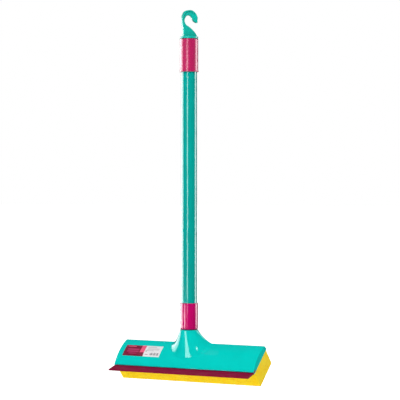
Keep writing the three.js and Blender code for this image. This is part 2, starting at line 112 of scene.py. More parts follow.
class Skin:
    """Gathers grids, strips and caps of points, in millimetres, into one welded mesh."""

    def __init__(self) -> None:
        """Starts with no points."""
        self.blocks: list[np.ndarray] = []
        self.faces: list[tuple[int, ...]] = []
        self.count = 0

    def points(self, block: np.ndarray) -> int:
        """Adds points.

        Args:
            block: Any array whose last axis is X, Y, Z.

        Returns:
            The number of the first point added.
        """
        flat = np.asarray(block, float).reshape(-1, 3)
        first = self.count
        self.blocks.append(flat)
        self.count += len(flat)
        return first

    def grid(self, rows: np.ndarray, ring: bool = False) -> None:
        """Joins rows of points by four-sided faces.

        Args:
            rows: Points as rows, columns, XYZ.
            ring: Whether each row closes on itself.
        """
        rows = np.asarray(rows, float)
        height, width = rows.shape[:2]
        first = self.points(rows)
        for row in range(height - 1):
            start = first + row * width
            for column in range(width if ring else width - 1):
                beside = (column + 1) % width
                self.faces.append(
                    (start + column, start + beside, start + width + beside, start + width + column)
                )

    def cap(self, loop: np.ndarray) -> None:
        """Closes a flat loop of points with one face."""
        first = self.points(loop)
        self.faces.append(tuple(range(first, first + len(loop))))

    def strip(self, near: np.ndarray, far: np.ndarray) -> None:
        """Fills between two lines of points that both run along +X.

        Args:
            near: One line's points.
            far: The other line's points, of any number.
        """
        start, other = self.points(near), self.points(far)
        i = j = 0
        while i < len(near) - 1 or j < len(far) - 1:
            near_next = near[i + 1][0] if i < len(near) - 1 else math.inf
            far_next = far[j + 1][0] if j < len(far) - 1 else math.inf
            if near_next <= far_next:
                self.faces.append((start + i, start + i + 1, other + j))
                i += 1
            else:
                self.faces.append((start + i, other + j + 1, other + j))
                j += 1

    def built(self, name: str, place: Matrix, crease: float = CREASE_ANGLE) -> bpy.types.Object:
        """Welds the points into an object at the origin, with its place in its mesh.

        Args:
            name: The piece's name.
            place: Where the points' own frame stands, in millimetres.
            crease: The angle in degrees past which an edge is drawn sharp.

        Returns:
            The object, linked to the scene.
        """
        mesh = bpy.data.meshes.new(name)
        mesh.from_pydata(np.vstack(self.blocks) * MILLIMETRE, [], self.faces)
        work = bmesh.new()
        work.from_mesh(mesh)
        bmesh.ops.remove_doubles(work, verts=work.verts, dist=WELD_DISTANCE)
        bmesh.ops.dissolve_degenerate(work, edges=work.edges, dist=WELD_DISTANCE / 2)
        bmesh.ops.recalc_face_normals(work, faces=work.faces)
        for face in work.faces:
            face.smooth = True
        moved = Matrix.Translation(place.translation * MILLIMETRE) @ place.to_3x3().to_4x4()
        bmesh.ops.transform(work, matrix=moved, verts=work.verts)
        work.to_mesh(mesh)
        work.free()
        mesh.set_sharp_from_angle(angle=math.radians(crease))
        return linked(name, mesh)


def linked(name: str, mesh: bpy.types.Mesh) -> bpy.types.Object:
    """Makes an object of a mesh and links it to the scene."""
    piece = bpy.data.objects.new(name, mesh)
    bpy.context.scene.collection.objects.link(piece)
    return piece


def filleted(corners: Outline, radii: list[float], steps: int = 5, support: float = 0.3) -> Outline:
    """Rounds the corners of an open line, with a point each side to hold the flats flat.

    Args:
        corners: The line's corners.
        radii: The rounding of each corner, or 0 to leave it sharp.
        steps: How many faces each rounding has.
        support: How far past a rounding its holding point stands.

    Returns:
        The rounded line.
    """
    line: Outline = [corners[0]]
    for before, corner, after, radius in zip(corners, corners[1:], corners[2:], radii[1:]):
        if radius <= 0:
            line.append(corner)
            continue
        middle = Vector(corner)
        back, ahead = Vector(before) - middle, Vector(after) - middle
        room = (0.45 * back.length, 0.45 * ahead.length)
        back.normalize()
        ahead.normalize()
        half = 0.5 * math.acos(max(-1.0, min(1.0, back.dot(ahead))))
        reach = min(radius / math.tan(half), *room)
        radius = reach * math.tan(half)
        centre = middle + (back + ahead).normalized() * radius / math.sin(half)
        first, last = middle + back * reach - centre, middle + ahead * reach - centre
        sweep = math.pi - 2 * half
        if reach + support < room[0] * 2:
            line.append(tuple(middle + back * (reach + support)))
        for step in range(steps + 1):
            share = step / steps
            arc = first * math.sin((1 - share) * sweep) + last * math.sin(share * sweep)
            line.append(tuple(centre + arc / math.sin(sweep)))
        if reach + support < room[1] * 2:
            line.append(tuple(middle + ahead * (reach + support)))
    line.append(corners[-1])
    return line


def quarter(radius: float, points: int) -> Outline:
    """The points of a quarter rounding, from the face that it ends to the face beside it.

    Args:
        radius: The rounding's radius.
        points: How many points it has.

    Returns:
        For each point, how far it is short of the end face and inside the face beside it.
    """
    turns = np.linspace(0, math.pi / 2, points)
    return [(radius * (1 - math.sin(a)), radius * (1 - math.cos(a))) for a in turns]


def normals(line: np.ndarray, closed: bool) -> np.ndarray:
    """The unit normals of a line, on the left of its way.

    Args:
        line: The line's points, as rows.
        closed: Whether its last point runs on to its first.

    Returns:
        One normal for each point.
    """
    ahead = np.roll(line, -1, axis=0) - np.roll(line, 1, axis=0)
    if not closed:
        ahead[0], ahead[-1] = line[1] - line[0], line[-1] - line[-2]
    side = np.stack([-ahead[:, 1], ahead[:, 0]], axis=1)
    return side / np.linalg.norm(side, axis=1)[:, None]


def lathe_rows(profile: Outline, around: int) -> np.ndarray:
    """Turns a profile of (radius, height) about Z into rings of points.

    Args:
        profile: The corners of the profile.
        around: How many points each ring has.

    Returns:
        The rings, as rows, columns, XYZ.
    """
    turn = np.linspace(0.0, 2 * math.pi, around, endpoint=False)
    return np.array(
        [[(r * math.cos(a), r * math.sin(a), z) for a in turn] for r, z in profile]
    )


def lathed(
    name: str, profile: Outline, place: Matrix, around: int, crease: float = CREASE_ANGLE
) -> bpy.types.Object:
    """Builds a piece by turning a profile of (radius, height) about Z.

    Args:
        name: The piece's name.
        profile: The corners of the profile, from its first point round to the same point.
        place: Where the profile's own frame stands, in millimetres.
        around: How many points each ring has.
        crease: The angle in degrees past which an edge is drawn sharp.

    Returns:
        The piece.
    """
    skin = Skin()
    skin.grid(lathe_rows(profile, around), ring=True)
    return skin.built(name, place, crease)


def from_mesh_nodes(piece: bpy.types.Object) -> bpy.types.Object:
    """Turns a piece's live modifiers into its plain mesh and removes them."""
    graph = bpy.context.evaluated_depsgraph_get()
    mesh = bpy.data.meshes.new_from_object(piece.evaluated_get(graph), depsgraph=graph)
    piece.modifiers.clear()
    piece.data = mesh
    mesh.name = piece.name
    return piece


def joined(name: str, pieces: list[bpy.types.Object]) -> bpy.types.Object:
    """Joins finished meshes into one, keeping each face's sharp edges.

    Args:
        name: The joined piece's name.
        pieces: The meshes, all at the origin.

    Returns:
        The joined piece.
    """
    with bpy.context.temp_override(active_object=pieces[0], selected_editable_objects=pieces):
        bpy.ops.object.join()
    pieces[0].name = name
    pieces[0].data.name = name
    return pieces[0]


# ------------------------------------------------------------------ node trees


class Wiring:
    """A node tree with short ways to add nodes and join them."""

    def __init__(self, tree: bpy.types.NodeTree) -> None:
        """Keeps the tree that nodes are added to."""
        self.tree = tree

    def fill(self, node: bpy.types.Node, values: dict) -> bpy.types.Node:
        """Sets a node's inputs.

        Args:
            node: The node.
            values: What goes into its inputs, by name or number: a socket or a plain value.

        Returns:
            The node.
        """
        for key, value in values.items():
            if isinstance(value, bpy.types.NodeSocket):
                self.tree.links.new(value, node.inputs[key])
            else:
                node.inputs[key].default_value = value
        return node

    def node(self, kind: str, values: dict | None = None, **settings: object) -> bpy.types.Node:
        """Adds a node, with its own properties set and its inputs filled."""
        made = self.tree.nodes.new(kind)
        for key, value in settings.items():
            setattr(made, key, value)
        return self.fill(made, values or {})

    def place(self) -> bpy.types.NodeSocket:
        """Gives the place on the piece, in the piece's own coordinates."""
        return self.node("ShaderNodeTexCoord").outputs["Object"]

    def noise(self, place: object, scale: object, detail: float = 2.0) -> bpy.types.NodeSocket:
        """Adds a cloudy noise."""
        values = {"Vector": place, "Scale": scale, "Detail": detail}
        return self.node("ShaderNodeTexNoise", values).outputs[0]

    def cells(self, place: object, scale: float) -> bpy.types.NodeSocket:
        """Adds a pattern of cells and gives the distance from each one's middle."""
        values = {"Vector": place, "Scale": scale}
        return self.node("ShaderNodeTexVoronoi", values).outputs["Distance"]

    def bump(self, height: object, strength: float, distance: float) -> bpy.types.NodeSocket:
        """Adds a bump and gives its normal."""
        values = {"Strength": strength, "Distance": distance, "Height": height}
        return self.node("ShaderNodeBump", values).outputs[0]

    def maths(self, rule: str, *values: object) -> bpy.types.NodeSocket:
        """Adds a Math node and gives its result."""
        return self.node("ShaderNodeMath", dict(enumerate(values)), operation=rule).outputs[0]

    def mixed(self, share: object, first: object, second: object) -> bpy.types.NodeSocket:
        """Mixes two colours by a share."""
        made = self.node("ShaderNodeMix", {0: share, 6: first, 7: second}, data_type="RGBA")
        return made.outputs[2]

    def spread(self, value: object, low: float, high: float, to: tuple) -> bpy.types.NodeSocket:
        """Stretches a value's range to another, and clamps it."""
        ends = {0: value, 1: low, 2: high, 3: to[0], 4: to[1]}
        return self.node("ShaderNodeMapRange", ends).outputs[0]


def colour(red: int, green: int, blue: int) -> Colour:
    """A screen colour of 0 to 255 as the linear colour that shaders use."""
    shares = (value / 255 for value in (red, green, blue))
    return (*(s / 12.92 if s <= 0.04045 else ((s + 0.055) / 1.055) ** 2.4 for s in shares), 1.0)


def new_group(name: str, inputs: dict[str, float], outputs: list[str]) -> tuple[Wiring, dict, dict]:
    """Starts a shader node group of number sockets.

    Args:
        name: The group's name.
        inputs: Its inputs and their first values.
        outputs: Its outputs' names.

    Returns:
        The group's wiring, its inputs inside the group, and its output sockets to join to.
    """
    tree = bpy.data.node_groups.new(name, "ShaderNodeTree")
    for key, value in inputs.items():
        socket = tree.interface.new_socket(key, in_out="INPUT", socket_type="NodeSocketFloat")
        socket.default_value = value
    for key in outputs:
        tree.interface.new_socket(key, in_out="OUTPUT", socket_type="NodeSocketFloat")
    entry, way_out = tree.nodes.new("NodeGroupInput"), tree.nodes.new("NodeGroupOutput")
    return Wiring(tree), dict(entry.outputs.items()), dict(way_out.inputs.items())


class SharedEffects:
    """The groups that more than one finish uses, each built once."""

    def __init__(self) -> None:
        """Builds every group."""
        self.grain = self._mould_grain()
        self.wear = self._fine_wear()
        self.dust = self._settled_dust()
        self.print = self._printed_block()

    def _mould_grain(self) -> bpy.types.NodeTree:
        """The faint unevenness of a moulded or drawn surface: its height and its tone."""
        first = {"Scale": 2000.0, "Flow": 60.0}
        wiring, given, out = new_group("mould_grain", first, ["Height", "Tone"])
        place = wiring.place()
        fine = wiring.noise(place, given["Scale"], 3.0)
        broad = wiring.noise(place, given["Flow"])
        height = wiring.maths("ADD", fine, wiring.maths("MULTIPLY", broad, 1.5))
        wiring.tree.links.new(height, out["Height"])
        wiring.tree.links.new(wiring.spread(broad, 0.3, 0.7, (0.0, 1.0)), out["Tone"])
        return wiring.tree

    def _fine_wear(self) -> bpy.types.NodeTree:
        """Hairline scuffs that run mostly one way, as a mask."""
        wiring, given, out = new_group("fine_wear", {"Scale": 40.0, "Amount": 0.3}, ["Mask"])
        place = wiring.place()
        drawn = wiring.node("ShaderNodeMapping", {"Vector": place, "Scale": (22.0, 22.0, 1.2)})
        lines = wiring.noise(drawn.outputs[0], given["Scale"], 4.0)
        patches = wiring.noise(place, given["Scale"])
        thin = wiring.spread(lines, 0.62, 0.72, (0.0, 1.0))
        some = wiring.spread(patches, 0.5, 0.66, (0.0, 1.0))
        mask = wiring.maths("MULTIPLY", wiring.maths("MULTIPLY", thin, some), given["Amount"])
        wiring.tree.links.new(mask, out["Mask"])
        return wiring.tree

    def _settled_dust(self) -> bpy.types.NodeTree:
        """A trace of dust on what faces up, as a mask."""
        wiring, given, out = new_group("settled_dust", {"Scale": 400.0, "Amount": 0.05}, ["Mask"])
        facing = wiring.node("ShaderNodeNewGeometry").outputs["Normal"]
        up = wiring.node("ShaderNodeSeparateXYZ", {0: facing}).outputs[2]
        speckle = wiring.noise(wiring.place(), given["Scale"], 5.0)
        lying = wiring.spread(up, 0.35, 1.0, (0.0, 1.0))
        spots = wiring.spread(speckle, 0.48, 0.7, (0.0, 1.0))
        mask = wiring.maths("MULTIPLY", wiring.maths("MULTIPLY", lying, spots), given["Amount"])
        wiring.tree.links.new(mask, out["Mask"])
        return wiring.tree

    def _printed_block(self) -> bpy.types.NodeTree:
        """One upright printed block on a film, from its edges across and up, as a mask."""
        edges = {"Across": 0.0, "Up": 0.0, "Left": 0.1, "Right": 0.2, "Low": 0.1, "High": 0.2}
        wiring, given, out = new_group("printed_block", edges, ["Mask"])
        mask = wiring.maths("GREATER_THAN", given["Across"], given["Left"])
        for rule, spot, edge in (
            ("LESS_THAN", "Across", "Right"), ("GREATER_THAN", "Up", "Low"),
            ("LESS_THAN", "Up", "High"),
        ):
            mask = wiring.maths("MULTIPLY", mask, wiring.maths(rule, given[spot], given[edge]))
        wiring.tree.links.new(mask, out["Mask"])
        return wiring.tree


def placed_group(wiring: Wiring, tree: bpy.types.NodeTree, values: dict) -> bpy.types.Node:
    """Puts a shared group into a material with its own values."""
    return wiring.node("ShaderNodeGroup", values, node_tree=tree)


def new_material(name: str) -> tuple[bpy.types.Material, Wiring, bpy.types.Node]:
    """Starts a material.

    Args:
        name: The material's name.

    Returns:
        The material, its wiring and its Principled shader.
    """
    material = bpy.data.materials.new(name)
    material.use_nodes = True
    return material, Wiring(material.node_tree), material.node_tree.nodes["Principled BSDF"]


@dataclass(frozen=True)
class MouldedPlastic:
    """A coloured moulded plastic or rubber with grain, hairline wear and a trace of dust."""

    name: str
    body: Colour
    tint: Colour
    roughness: float = 0.25
    roughness_swing: float = 0.06
    grain_scale: float = 1800.0
    flow_scale: float = 45.0
    grain_depth: float = 0.000006
    wear: float = 0.25
    wear_roughness: float = 0.2
    dust: float = 0.05
    subsurface: float = 0.0
    subsurface_scale: float = 0.002
    reflectance: float = 0.35
    sheen: float = 0.0
    sheen_roughness: float = 0.25
    bump: float = 0.25

    def material(self, effects: SharedEffects) -> bpy.types.Material:
        """Builds the material.

        Args:
            effects: The shared groups.

        Returns:
            The material.
        """
        material, wiring, shader = new_material(self.name)
        grain = placed_group(
            wiring, effects.grain, {"Scale": self.grain_scale, "Flow": self.flow_scale}
        )
        wear = placed_group(wiring, effects.wear, {"Amount": self.wear}).outputs[0]
        dust = placed_group(wiring, effects.dust, {"Amount": self.dust}).outputs[0]
        tone = wiring.mixed(grain.outputs["Tone"], self.body, self.tint)
        pale = tuple(min(1.0, WORN_SHARE * c + WORN_LIFT) for c in self.body[:3]) + (1.0,)
        worn = wiring.mixed(wear, tone, pale)
        swing = wiring.maths("MULTIPLY", grain.outputs["Tone"], self.roughness_swing)
        rough = wiring.maths("ADD", swing, self.roughness)
        scuffed = wiring.maths("MULTIPLY", wear, self.wear_roughness)
        wiring.fill(shader, {
            "Base Color": wiring.mixed(dust, worn, DUST_COLOUR),
            "Roughness": wiring.maths("ADD", rough, scuffed),
            "Normal": wiring.bump(grain.outputs["Height"], self.bump, self.grain_depth),
            "Subsurface Weight": self.subsurface,
            "Subsurface Scale": self.subsurface_scale,
            "Specular IOR Level": self.reflectance,
            "Sheen Weight": self.sheen,
            "Sheen Roughness": self.sheen_roughness,
        })
        return material


@dataclass(frozen=True)
class OpenFoam:
    """Open-pored foam: a bright body, its pores painted darker as shade inside the cells, and a
    soft, matt skin.
    """

    name: str
    body: Colour
    # Painted shade: the darker colour that the pores are mixed towards, standing in for shade
    # inside the cells.
    pore_shade_colour: Colour
    pale: Colour
    pore_scale: float = 480.0
    large_pore_share: float = 0.45
    pore_shade: float = 0.42
    cloud_scale: float = 55.0
    cloud_height: float = 0.6
    pore_depth: float = 0.0005

    def material(self) -> bpy.types.Material:
        """Builds the material."""
        material, wiring, shader = new_material(self.name)
        place = wiring.place()
        fine = wiring.cells(place, self.pore_scale)
        large = wiring.cells(place, self.large_pore_share * self.pore_scale)
        cloud = wiring.noise(place, self.cloud_scale, 4.0)
        open_fine = wiring.spread(fine, 0.12, 0.42, (1.0, 0.0))
        open_large = wiring.spread(large, 0.1, 0.3, (0.8, 0.0))
        opened = wiring.maths("MAXIMUM", open_fine, open_large)
        toned = wiring.mixed(wiring.spread(cloud, 0.35, 0.65, (0.0, 1.0)), self.body, self.pale)
        # Painted shade: the open pores are mixed towards the darker pore colour; their dip in the
        # bump below is real.
        shade = wiring.maths("MULTIPLY", opened, self.pore_shade)
        raised = wiring.maths("MULTIPLY", cloud, self.cloud_height)
        height = wiring.maths("SUBTRACT", raised, opened)
        wiring.fill(shader, {
            "Base Color": wiring.mixed(shade, toned, self.pore_shade_colour),
            "Normal": wiring.bump(height, 0.6, self.pore_depth),
            "Roughness": 0.95,
            "Specular IOR Level": 0.15,
            "Subsurface Weight": 0.15,
            "Subsurface Scale": 0.004,
        })
        return material


@dataclass(frozen=True)
class DrawnSteel:
    """Bare drawn steel with faint lines along its length."""

    name: str = "drawn_steel"

    def material(self, effects: SharedEffects) -> bpy.types.Material:
        """Builds the material."""
        material, wiring, shader = new_material(self.name)
        grain = placed_group(wiring, effects.grain, {"Scale": 900.0, "Flow": 30.0})
        wear = placed_group(wiring, effects.wear, {"Scale": 60.0, "Amount": 0.8}).outputs[0]
        tone = wiring.mixed(grain.outputs["Tone"], colour(176, 180, 184), colour(150, 154, 158))
        rough = wiring.maths("ADD", wiring.maths("MULTIPLY", wear, 0.25), 0.3)
        wiring.fill(shader, {"Base Color": tone, "Roughness": rough, "Metallic": 1.0})
        return material


def new_tree(name: str, numbers: tuple[str, ...]) -> tuple[Wiring, bpy.types.NodeOutputs]:
    """Starts a geometry node tree that takes a shape, some numbers and a finish.

    Args:
        name: The tree's name.
        numbers: The names of its number inputs.

    Returns:
        The tree's wiring, and its inputs inside the tree.
    """
    tree = bpy.data.node_groups.new(name, "GeometryNodeTree")
    face = tree.interface
    face.new_socket("Geometry", in_out="INPUT", socket_type="NodeSocketGeometry")
    for number in numbers:
        face.new_socket(number, in_out="INPUT", socket_type="NodeSocketFloat")
    face.new_socket("Finish", in_out="INPUT", socket_type="NodeSocketMaterial")
    face.new_socket("Geometry", in_out="OUTPUT", socket_type="NodeSocketGeometry")
    return Wiring(tree), tree.nodes.new("NodeGroupInput").outputs


def ended_tree(
    wiring: Wiring, shape: bpy.types.NodeSocket, finish: bpy.types.NodeSocket
) -> bpy.types.GeometryNodeTree:
    """Ends a geometry node tree by making its shape real and giving it its finish."""
    whole = wiring.node("GeometryNodeRealizeInstances", {0: shape}).outputs[0]
    way_out = wiring.tree.nodes.new("NodeGroupOutput")
    dressed = wiring.node("GeometryNodeSetMaterial", {"Geometry": whole, "Material": finish})
    wiring.tree.links.new(dressed.outputs[0], way_out.inputs[0])
    return wiring.tree


# ------------------------------------------------------------------ hook


@dataclass
class HookCap:
    """The round cap with the flat hook that the tool hangs by, and its snap stem."""

    turn: float = math.radians(57.7)
    thickness: float = 6.0
    edge: float = 1.0
    flange: float = 14.4
    flange_height: float = 3.6
    stem: float = 4.0
    stem_length: float = 20.4
    barb: float = 4.9
    barb_length: float = 3.0
    barb_lead: float = 2.2
    rim: float = 2.0
    recess: float = 1.3
    around: int = 96
    stations: int = 150
    backs: Outline = field(
        default_factory=lambda: [
            (-11, 2.4), (-11, 4.8), (-11, 7.8), (-11, 11.2), (-11, 14.2), (-11.4, 17.2),
            (-12.2, 20.6), (-13, 24.6), (-13.3, 29), (-12.9, 33.6), (-9.5, 41), (-4.8, 44.2),
            (0.3, 45.2), (5.1, 44.6), (10.1, 41.3), (13.2, 36.8), (14.4, 33.2), (13.9, 30),
            (14, 27.6), (14.05, 26.6),
        ]
    )
    throats: Outline = field(
        default_factory=lambda: [
            (13, 2.4), (12.8, 4.8), (11.4, 7.8), (7.8, 11.8), (3.3, 15.8), (-1.3, 19),
            (-5.8, 21.4), (-7.8, 24.6), (-8.3, 28.2), (-7.2, 32.2), (-5.1, 35.2), (-2.8, 36.3),
            (-0.4, 36.6), (1.5, 35.9), (3.7, 33.8), (5, 31.6), (6, 30.2), (8.2, 27.6),
            (11.6, 25.9), (13.2, 25.5),
        ]
    )
    recess_from: float = 6.4
    recess_to: float = 15.4
    recess_run: float = 1.6

    @staticmethod
    def _eased(corners: np.ndarray, at: np.ndarray) -> np.ndarray:
        """Points on the smooth line through corners, at places counted in corners."""
        before = np.vstack([2 * corners[0] - corners[1], corners, 2 * corners[-1] - corners[-2]])
        index = np.clip(np.floor(at).astype(int), 0, len(corners) - 2)
        t = (at - index)[:, None]
        a, b, c, d = (before[index + k] for k in range(4))
        square, cube = 2 * a - 5 * b + 4 * c - d, 3 * b - a - 3 * c + d
        return 0.5 * (2 * b + (c - a) * t + square * t**2 + cube * t**3)

    def _section(self, width: float, depth: float) -> Outline:
        """One section of the band as (share of the way across, offset through it).

        Args:
            width: The band's width from its back to its throat.
            depth: How deep the recess inside the rim is here.

        Returns:
            The section's corners, going round.
        """
        half = self.thickness / 2
        edge = min(self.edge, 0.3 * width)
        near = [(s, half - inset) for inset, s in quarter(edge, 6)]
        rim = max(edge + 0.3, min(self.rim, 0.4 * width))
        face = [(rim - 0.2, half), (rim, half - 0.12 * depth), (rim + 0.3, half - 0.88 * depth),
                (rim + 0.5, half - depth), ((rim + width) / 2, half - depth)]
        side = near + face + [(width - s, w - depth) for s, w in reversed(near)]
        other = [(s, -w) for s, w in reversed(side)]
        return [(s / width, w) for s, w in side + other]

    def _band(self, skin: Skin) -> None:
        """Adds the hook's band, from the flange to its point."""
        at = np.linspace(0, len(self.backs) - 1, self.stations)
        backs = self._eased(np.array(self.backs), at)
        throats = self._eased(np.array(self.throats), at)
        rows = []
        for place, back, throat in zip(at, backs, throats):
            width = float(np.linalg.norm(throat - back))
            rise = min(place - self.recess_from, self.recess_to - place) / self.recess_run
            depth = self.recess * max(0.0, min(1.0, rise))
            rows.append([
                (*(back + share * (throat - back)), through)
                for share, through in self._section(width, depth)
            ])
        flat = np.array(rows)
        band = np.stack([flat[..., 0], flat[..., 2], flat[..., 1]], axis=-1)
        skin.grid(band, ring=True)
        skin.cap(band[0])
        skin.cap(band[-1])

    def _round(self, skin: Skin) -> None:
        """Adds the flange with the stem and its snap collar."""
        foot = -self.stem_length - self.barb_length
        profile = filleted(
            [(0, foot), (self.stem - 1, foot), (self.barb, foot + self.barb_lead),
             (self.barb, -self.stem_length), (self.stem, -self.stem_length), (self.stem, 0),
             (self.flange, 0),
             (self.flange, self.flange_height), (0, self.flange_height)],
            [0, 0.3, 0.4, 0.2, 0.2, 0.3, 0.9, 0.8, 0],
        )
        skin.grid(lathe_rows(profile, self.around), ring=True)

    def build(self) -> bpy.types.Object:
        """Builds the cap with its hook."""
        skin = Skin()
        self._band(skin)
        self._round(skin)
        place = Matrix.Translation((0, 0, CAP_SEAT_Z)) @ Matrix.Rotation(self.turn, 4, "Z")
        return skin.built("hook_with_cap", place)

    def dress(self, piece: bpy.types.Object, finish: bpy.types.Material) -> None:
        """Gives the cap its finish and its body."""
        settle(piece, finish, "hook", Finish.HOOK, "hook_cap")


def settle(
    piece: bpy.types.Object, finish: bpy.types.Material, body: str, slot: Finish, *nodes: str
) -> None:
    """Dresses a piece and fixes it to its body.

    Args:
        piece: The finished piece.
        finish: Its material.
        body: The body that it rides on.
        slot: The record's slot for its finish; not used.
        nodes: The frame's nodes that it stands for.
    """
    piece.data.materials.clear()
    piece.data.materials.append(finish)
    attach(piece, body)
    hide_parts(*nodes)
    LOG.info("%s: %d faces", piece.name, len(piece.data.polygons))


def finish_node(node: str, finish: bpy.types.Material) -> None:
    """Gives one of the frame's own nodes, which no piece stands for, its finish."""
    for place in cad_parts[node].material_slots:
        place.material = finish


# ------------------------------------------------------------------ handle


@dataclass
class Handle:
    """The tube with its plastic skin, and the soft grip sleeve at its top."""

    radius: float = 12.5
    skin_wall: float = 0.4
    grip_radius: float = 14.5
    bead_radius: float = 15.0
    bead_height: float = 2.2
    bore_gap: float = 0.08
    skin_bevel: float = 0.12
    skin_rings: int = 24
    grip_rings: int = 22
    around: int = 128

    @staticmethod
    def _heights(node: str) -> tuple[float, float]:
        """The heights of a node's foot and top, in millimetres."""
        low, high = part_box(node)
        return low.z / MILLIMETRE, high.z / MILLIMETRE

    def tube_skin(self) -> bpy.types.Object:
        """Builds the smooth plastic skin drawn over the steel tube."""
        foot, top = self._heights("tube_coating")
        inner, bevel = self.radius - self.skin_wall, self.skin_bevel
        heights = np.linspace(foot + 1, top - 1, self.skin_rings)
        profile = [(inner, foot), (self.radius - bevel, foot), (self.radius, foot + bevel)]
        profile += [(self.radius, z) for z in heights]
        profile += [(self.radius, top - bevel), (self.radius - bevel, top), (inner, top)]
        return lathed("tube_skin", profile + profile[:1], Matrix(), self.around)

    def grip(self) -> bpy.types.Object:
        """Builds the grip sleeve, with the bead round its lower edge."""
        foot, top = self._heights("grip_sleeve")
        bore = self.radius + self.bore_gap
        shoulder = foot + self.bead_height
        heights = np.linspace(shoulder + 2, top - 2, self.grip_rings)
        lower = filleted(
            [(bore, foot), (self.bead_radius, foot), (self.bead_radius, shoulder),
             (self.grip_radius, shoulder), (self.grip_radius, shoulder + 2)],
            [0, 0.6, 0.5, 0.3, 0],
        )
        upper = filleted(
            [(self.grip_radius, top - 2), (self.grip_radius, top), (bore, top)], [0, 1.1, 0]
        )
        profile = lower + [(self.grip_radius, z) for z in heights[1:-1]] + upper
        return lathed("grip", profile + profile[:1], Matrix(), self.around)

    def dress(self, tube: bpy.types.Object, grip: bpy.types.Object, finishes: dict) -> None:
        """Gives the handle's pieces and the frame's own tube and bush their finishes."""
        settle(tube, finishes[Finish.TUBE], "handle", Finish.TUBE, "tube_coating")
        settle(grip, finishes[Finish.GRIP], "handle", Finish.GRIP, "grip_sleeve")
        finish_node("steel_tube", finishes[Finish.STEEL])
        finish_node("hook_bush", finishes[Finish.BUSH])


# ------------------------------------------------------------------ coupling


@dataclass
class ScrewCoupling:
    """The collar on the tube's foot with its threaded spigot, and the seal ring beneath it."""

    radius: float = 14.0
    top: float = 42.0
    foot: float = 1.2
    rounding: float = 1.6
    cup_bore: float = 12.58
    cup_floor: float = 6.2
    spigot: float = 9.6
    spigot_length: float = 22.0
    spigot_bore: float = 6.8
    pitch: float = 5.0
    turns: float = 3.4
    thread_foot: float = -19.6
    thread_section: float = 1.3
    thread_points: int = 220
    ring_radii: tuple[float, float] = (10.3, 13.3)
    ring_gap: float = 0.15
    around: int = 128

    def _collar(self) -> bpy.types.Object:
        """Builds the collar and the plain spigot."""
        outer = filleted(
            [(self.spigot_bore, -self.spigot_length), (self.spigot, -self.spigot_length),
             (self.spigot, self.foot), (self.radius, self.foot), (self.radius, self.top),
             (self.cup_bore, self.top), (self.cup_bore, self.cup_floor),
             (self.spigot_bore, self.cup_floor)],
            [0, 1.0, 0.2, self.rounding, 0.5, 0.2, 0.2, 0],
        )
        return lathed("screw_collar", outer + outer[:1], TO_RIM, self.around)

    def _thread_tree(self) -> bpy.types.GeometryNodeTree:
        """Builds the node tree that sweeps a round ridge along a screw line."""
        wiring, given = new_tree("screw_ridge", ("Radius", "Pitch", "Turns", "Foot", "Section"))
        line = wiring.node("GeometryNodeCurvePrimitiveLine").outputs[0]
        fine = wiring.node(
            "GeometryNodeResampleCurve", {"Curve": line, "Count": self.thread_points}
        ).outputs[0]
        share = wiring.node("GeometryNodeSplineParameter").outputs["Factor"]
        turned = wiring.maths("MULTIPLY", share, given["Turns"])
        angle = wiring.maths("MULTIPLY", turned, 2 * math.pi)
        across = wiring.maths("MULTIPLY", wiring.maths("COSINE", angle), given["Radius"])
        along = wiring.maths("MULTIPLY", wiring.maths("SINE", angle), given["Radius"])
        risen = wiring.maths("MULTIPLY", turned, given["Pitch"])
        height = wiring.maths("ADD", risen, given["Foot"])
        place = wiring.node("ShaderNodeCombineXYZ", {0: across, 1: along, 2: height}).outputs[0]
        screw = wiring.node(
            "GeometryNodeSetPosition", {"Geometry": fine, "Position": place}
        ).outputs[0]
        ring = wiring.node(
            "GeometryNodeCurvePrimitiveCircle", {"Resolution": 16, "Radius": given["Section"]}
        ).outputs[0]
        ridge = wiring.node(
            "GeometryNodeCurveToMesh", {"Curve": screw, "Profile Curve": ring, "Fill Caps": True}
        ).outputs[0]
        smooth = wiring.node("GeometryNodeSetShadeSmooth", {"Geometry": ridge}).outputs[0]
        return ended_tree(wiring, smooth, given["Finish"])

    def _thread(self, finish: bpy.types.Material) -> bpy.types.Object:
        """Builds the ridge of the thread, by nodes."""
        piece = linked("thread_ridge", bpy.data.meshes.new("thread_ridge"))
        sizes = {
            "Radius": self.spigot * MILLIMETRE,
            "Pitch": self.pitch * MILLIMETRE,
            "Turns": self.turns,
            "Foot": (self.thread_foot + RIM_Z) * MILLIMETRE,
            "Section": self.thread_section * MILLIMETRE,
            "Finish": finish,
        }
        grown_by_nodes(piece, self._thread_tree(), sizes)
        return piece

    def ring(self) -> bpy.types.Object:
        """Builds the seal ring, soft at its edges."""
        inner, outer = self.ring_radii
        low, high = self.ring_gap, self.foot - self.ring_gap
        profile = filleted(
            [(inner, (low + high) / 2), (inner, low), (outer, low), (outer, high), (inner, high),
             (inner, (low + high) / 2)],
            [0, 0.25, 0.3, 0.3, 0.25, 0],
            support=0.1,
        )
        return lathed("seal", profile, TO_RIM, self.around, crease=50)

    def build(self, finish: bpy.types.Material) -> bpy.types.Object:
        """Builds the coupling with its thread."""
        collar = self._collar()
        collar.data.materials.append(finish)
        return joined("screw_collar", [collar, self._thread(finish)])

    def dress(self, collar: bpy.types.Object, ring: bpy.types.Object, finishes: dict) -> None:
        """Gives the coupling and its ring their finishes and bodies."""
        settle(collar, finishes[Finish.COLLAR], "handle", Finish.COLLAR, "screw_coupling")
        settle(ring, finishes[Finish.RING], "ring", Finish.RING, "seal_ring")


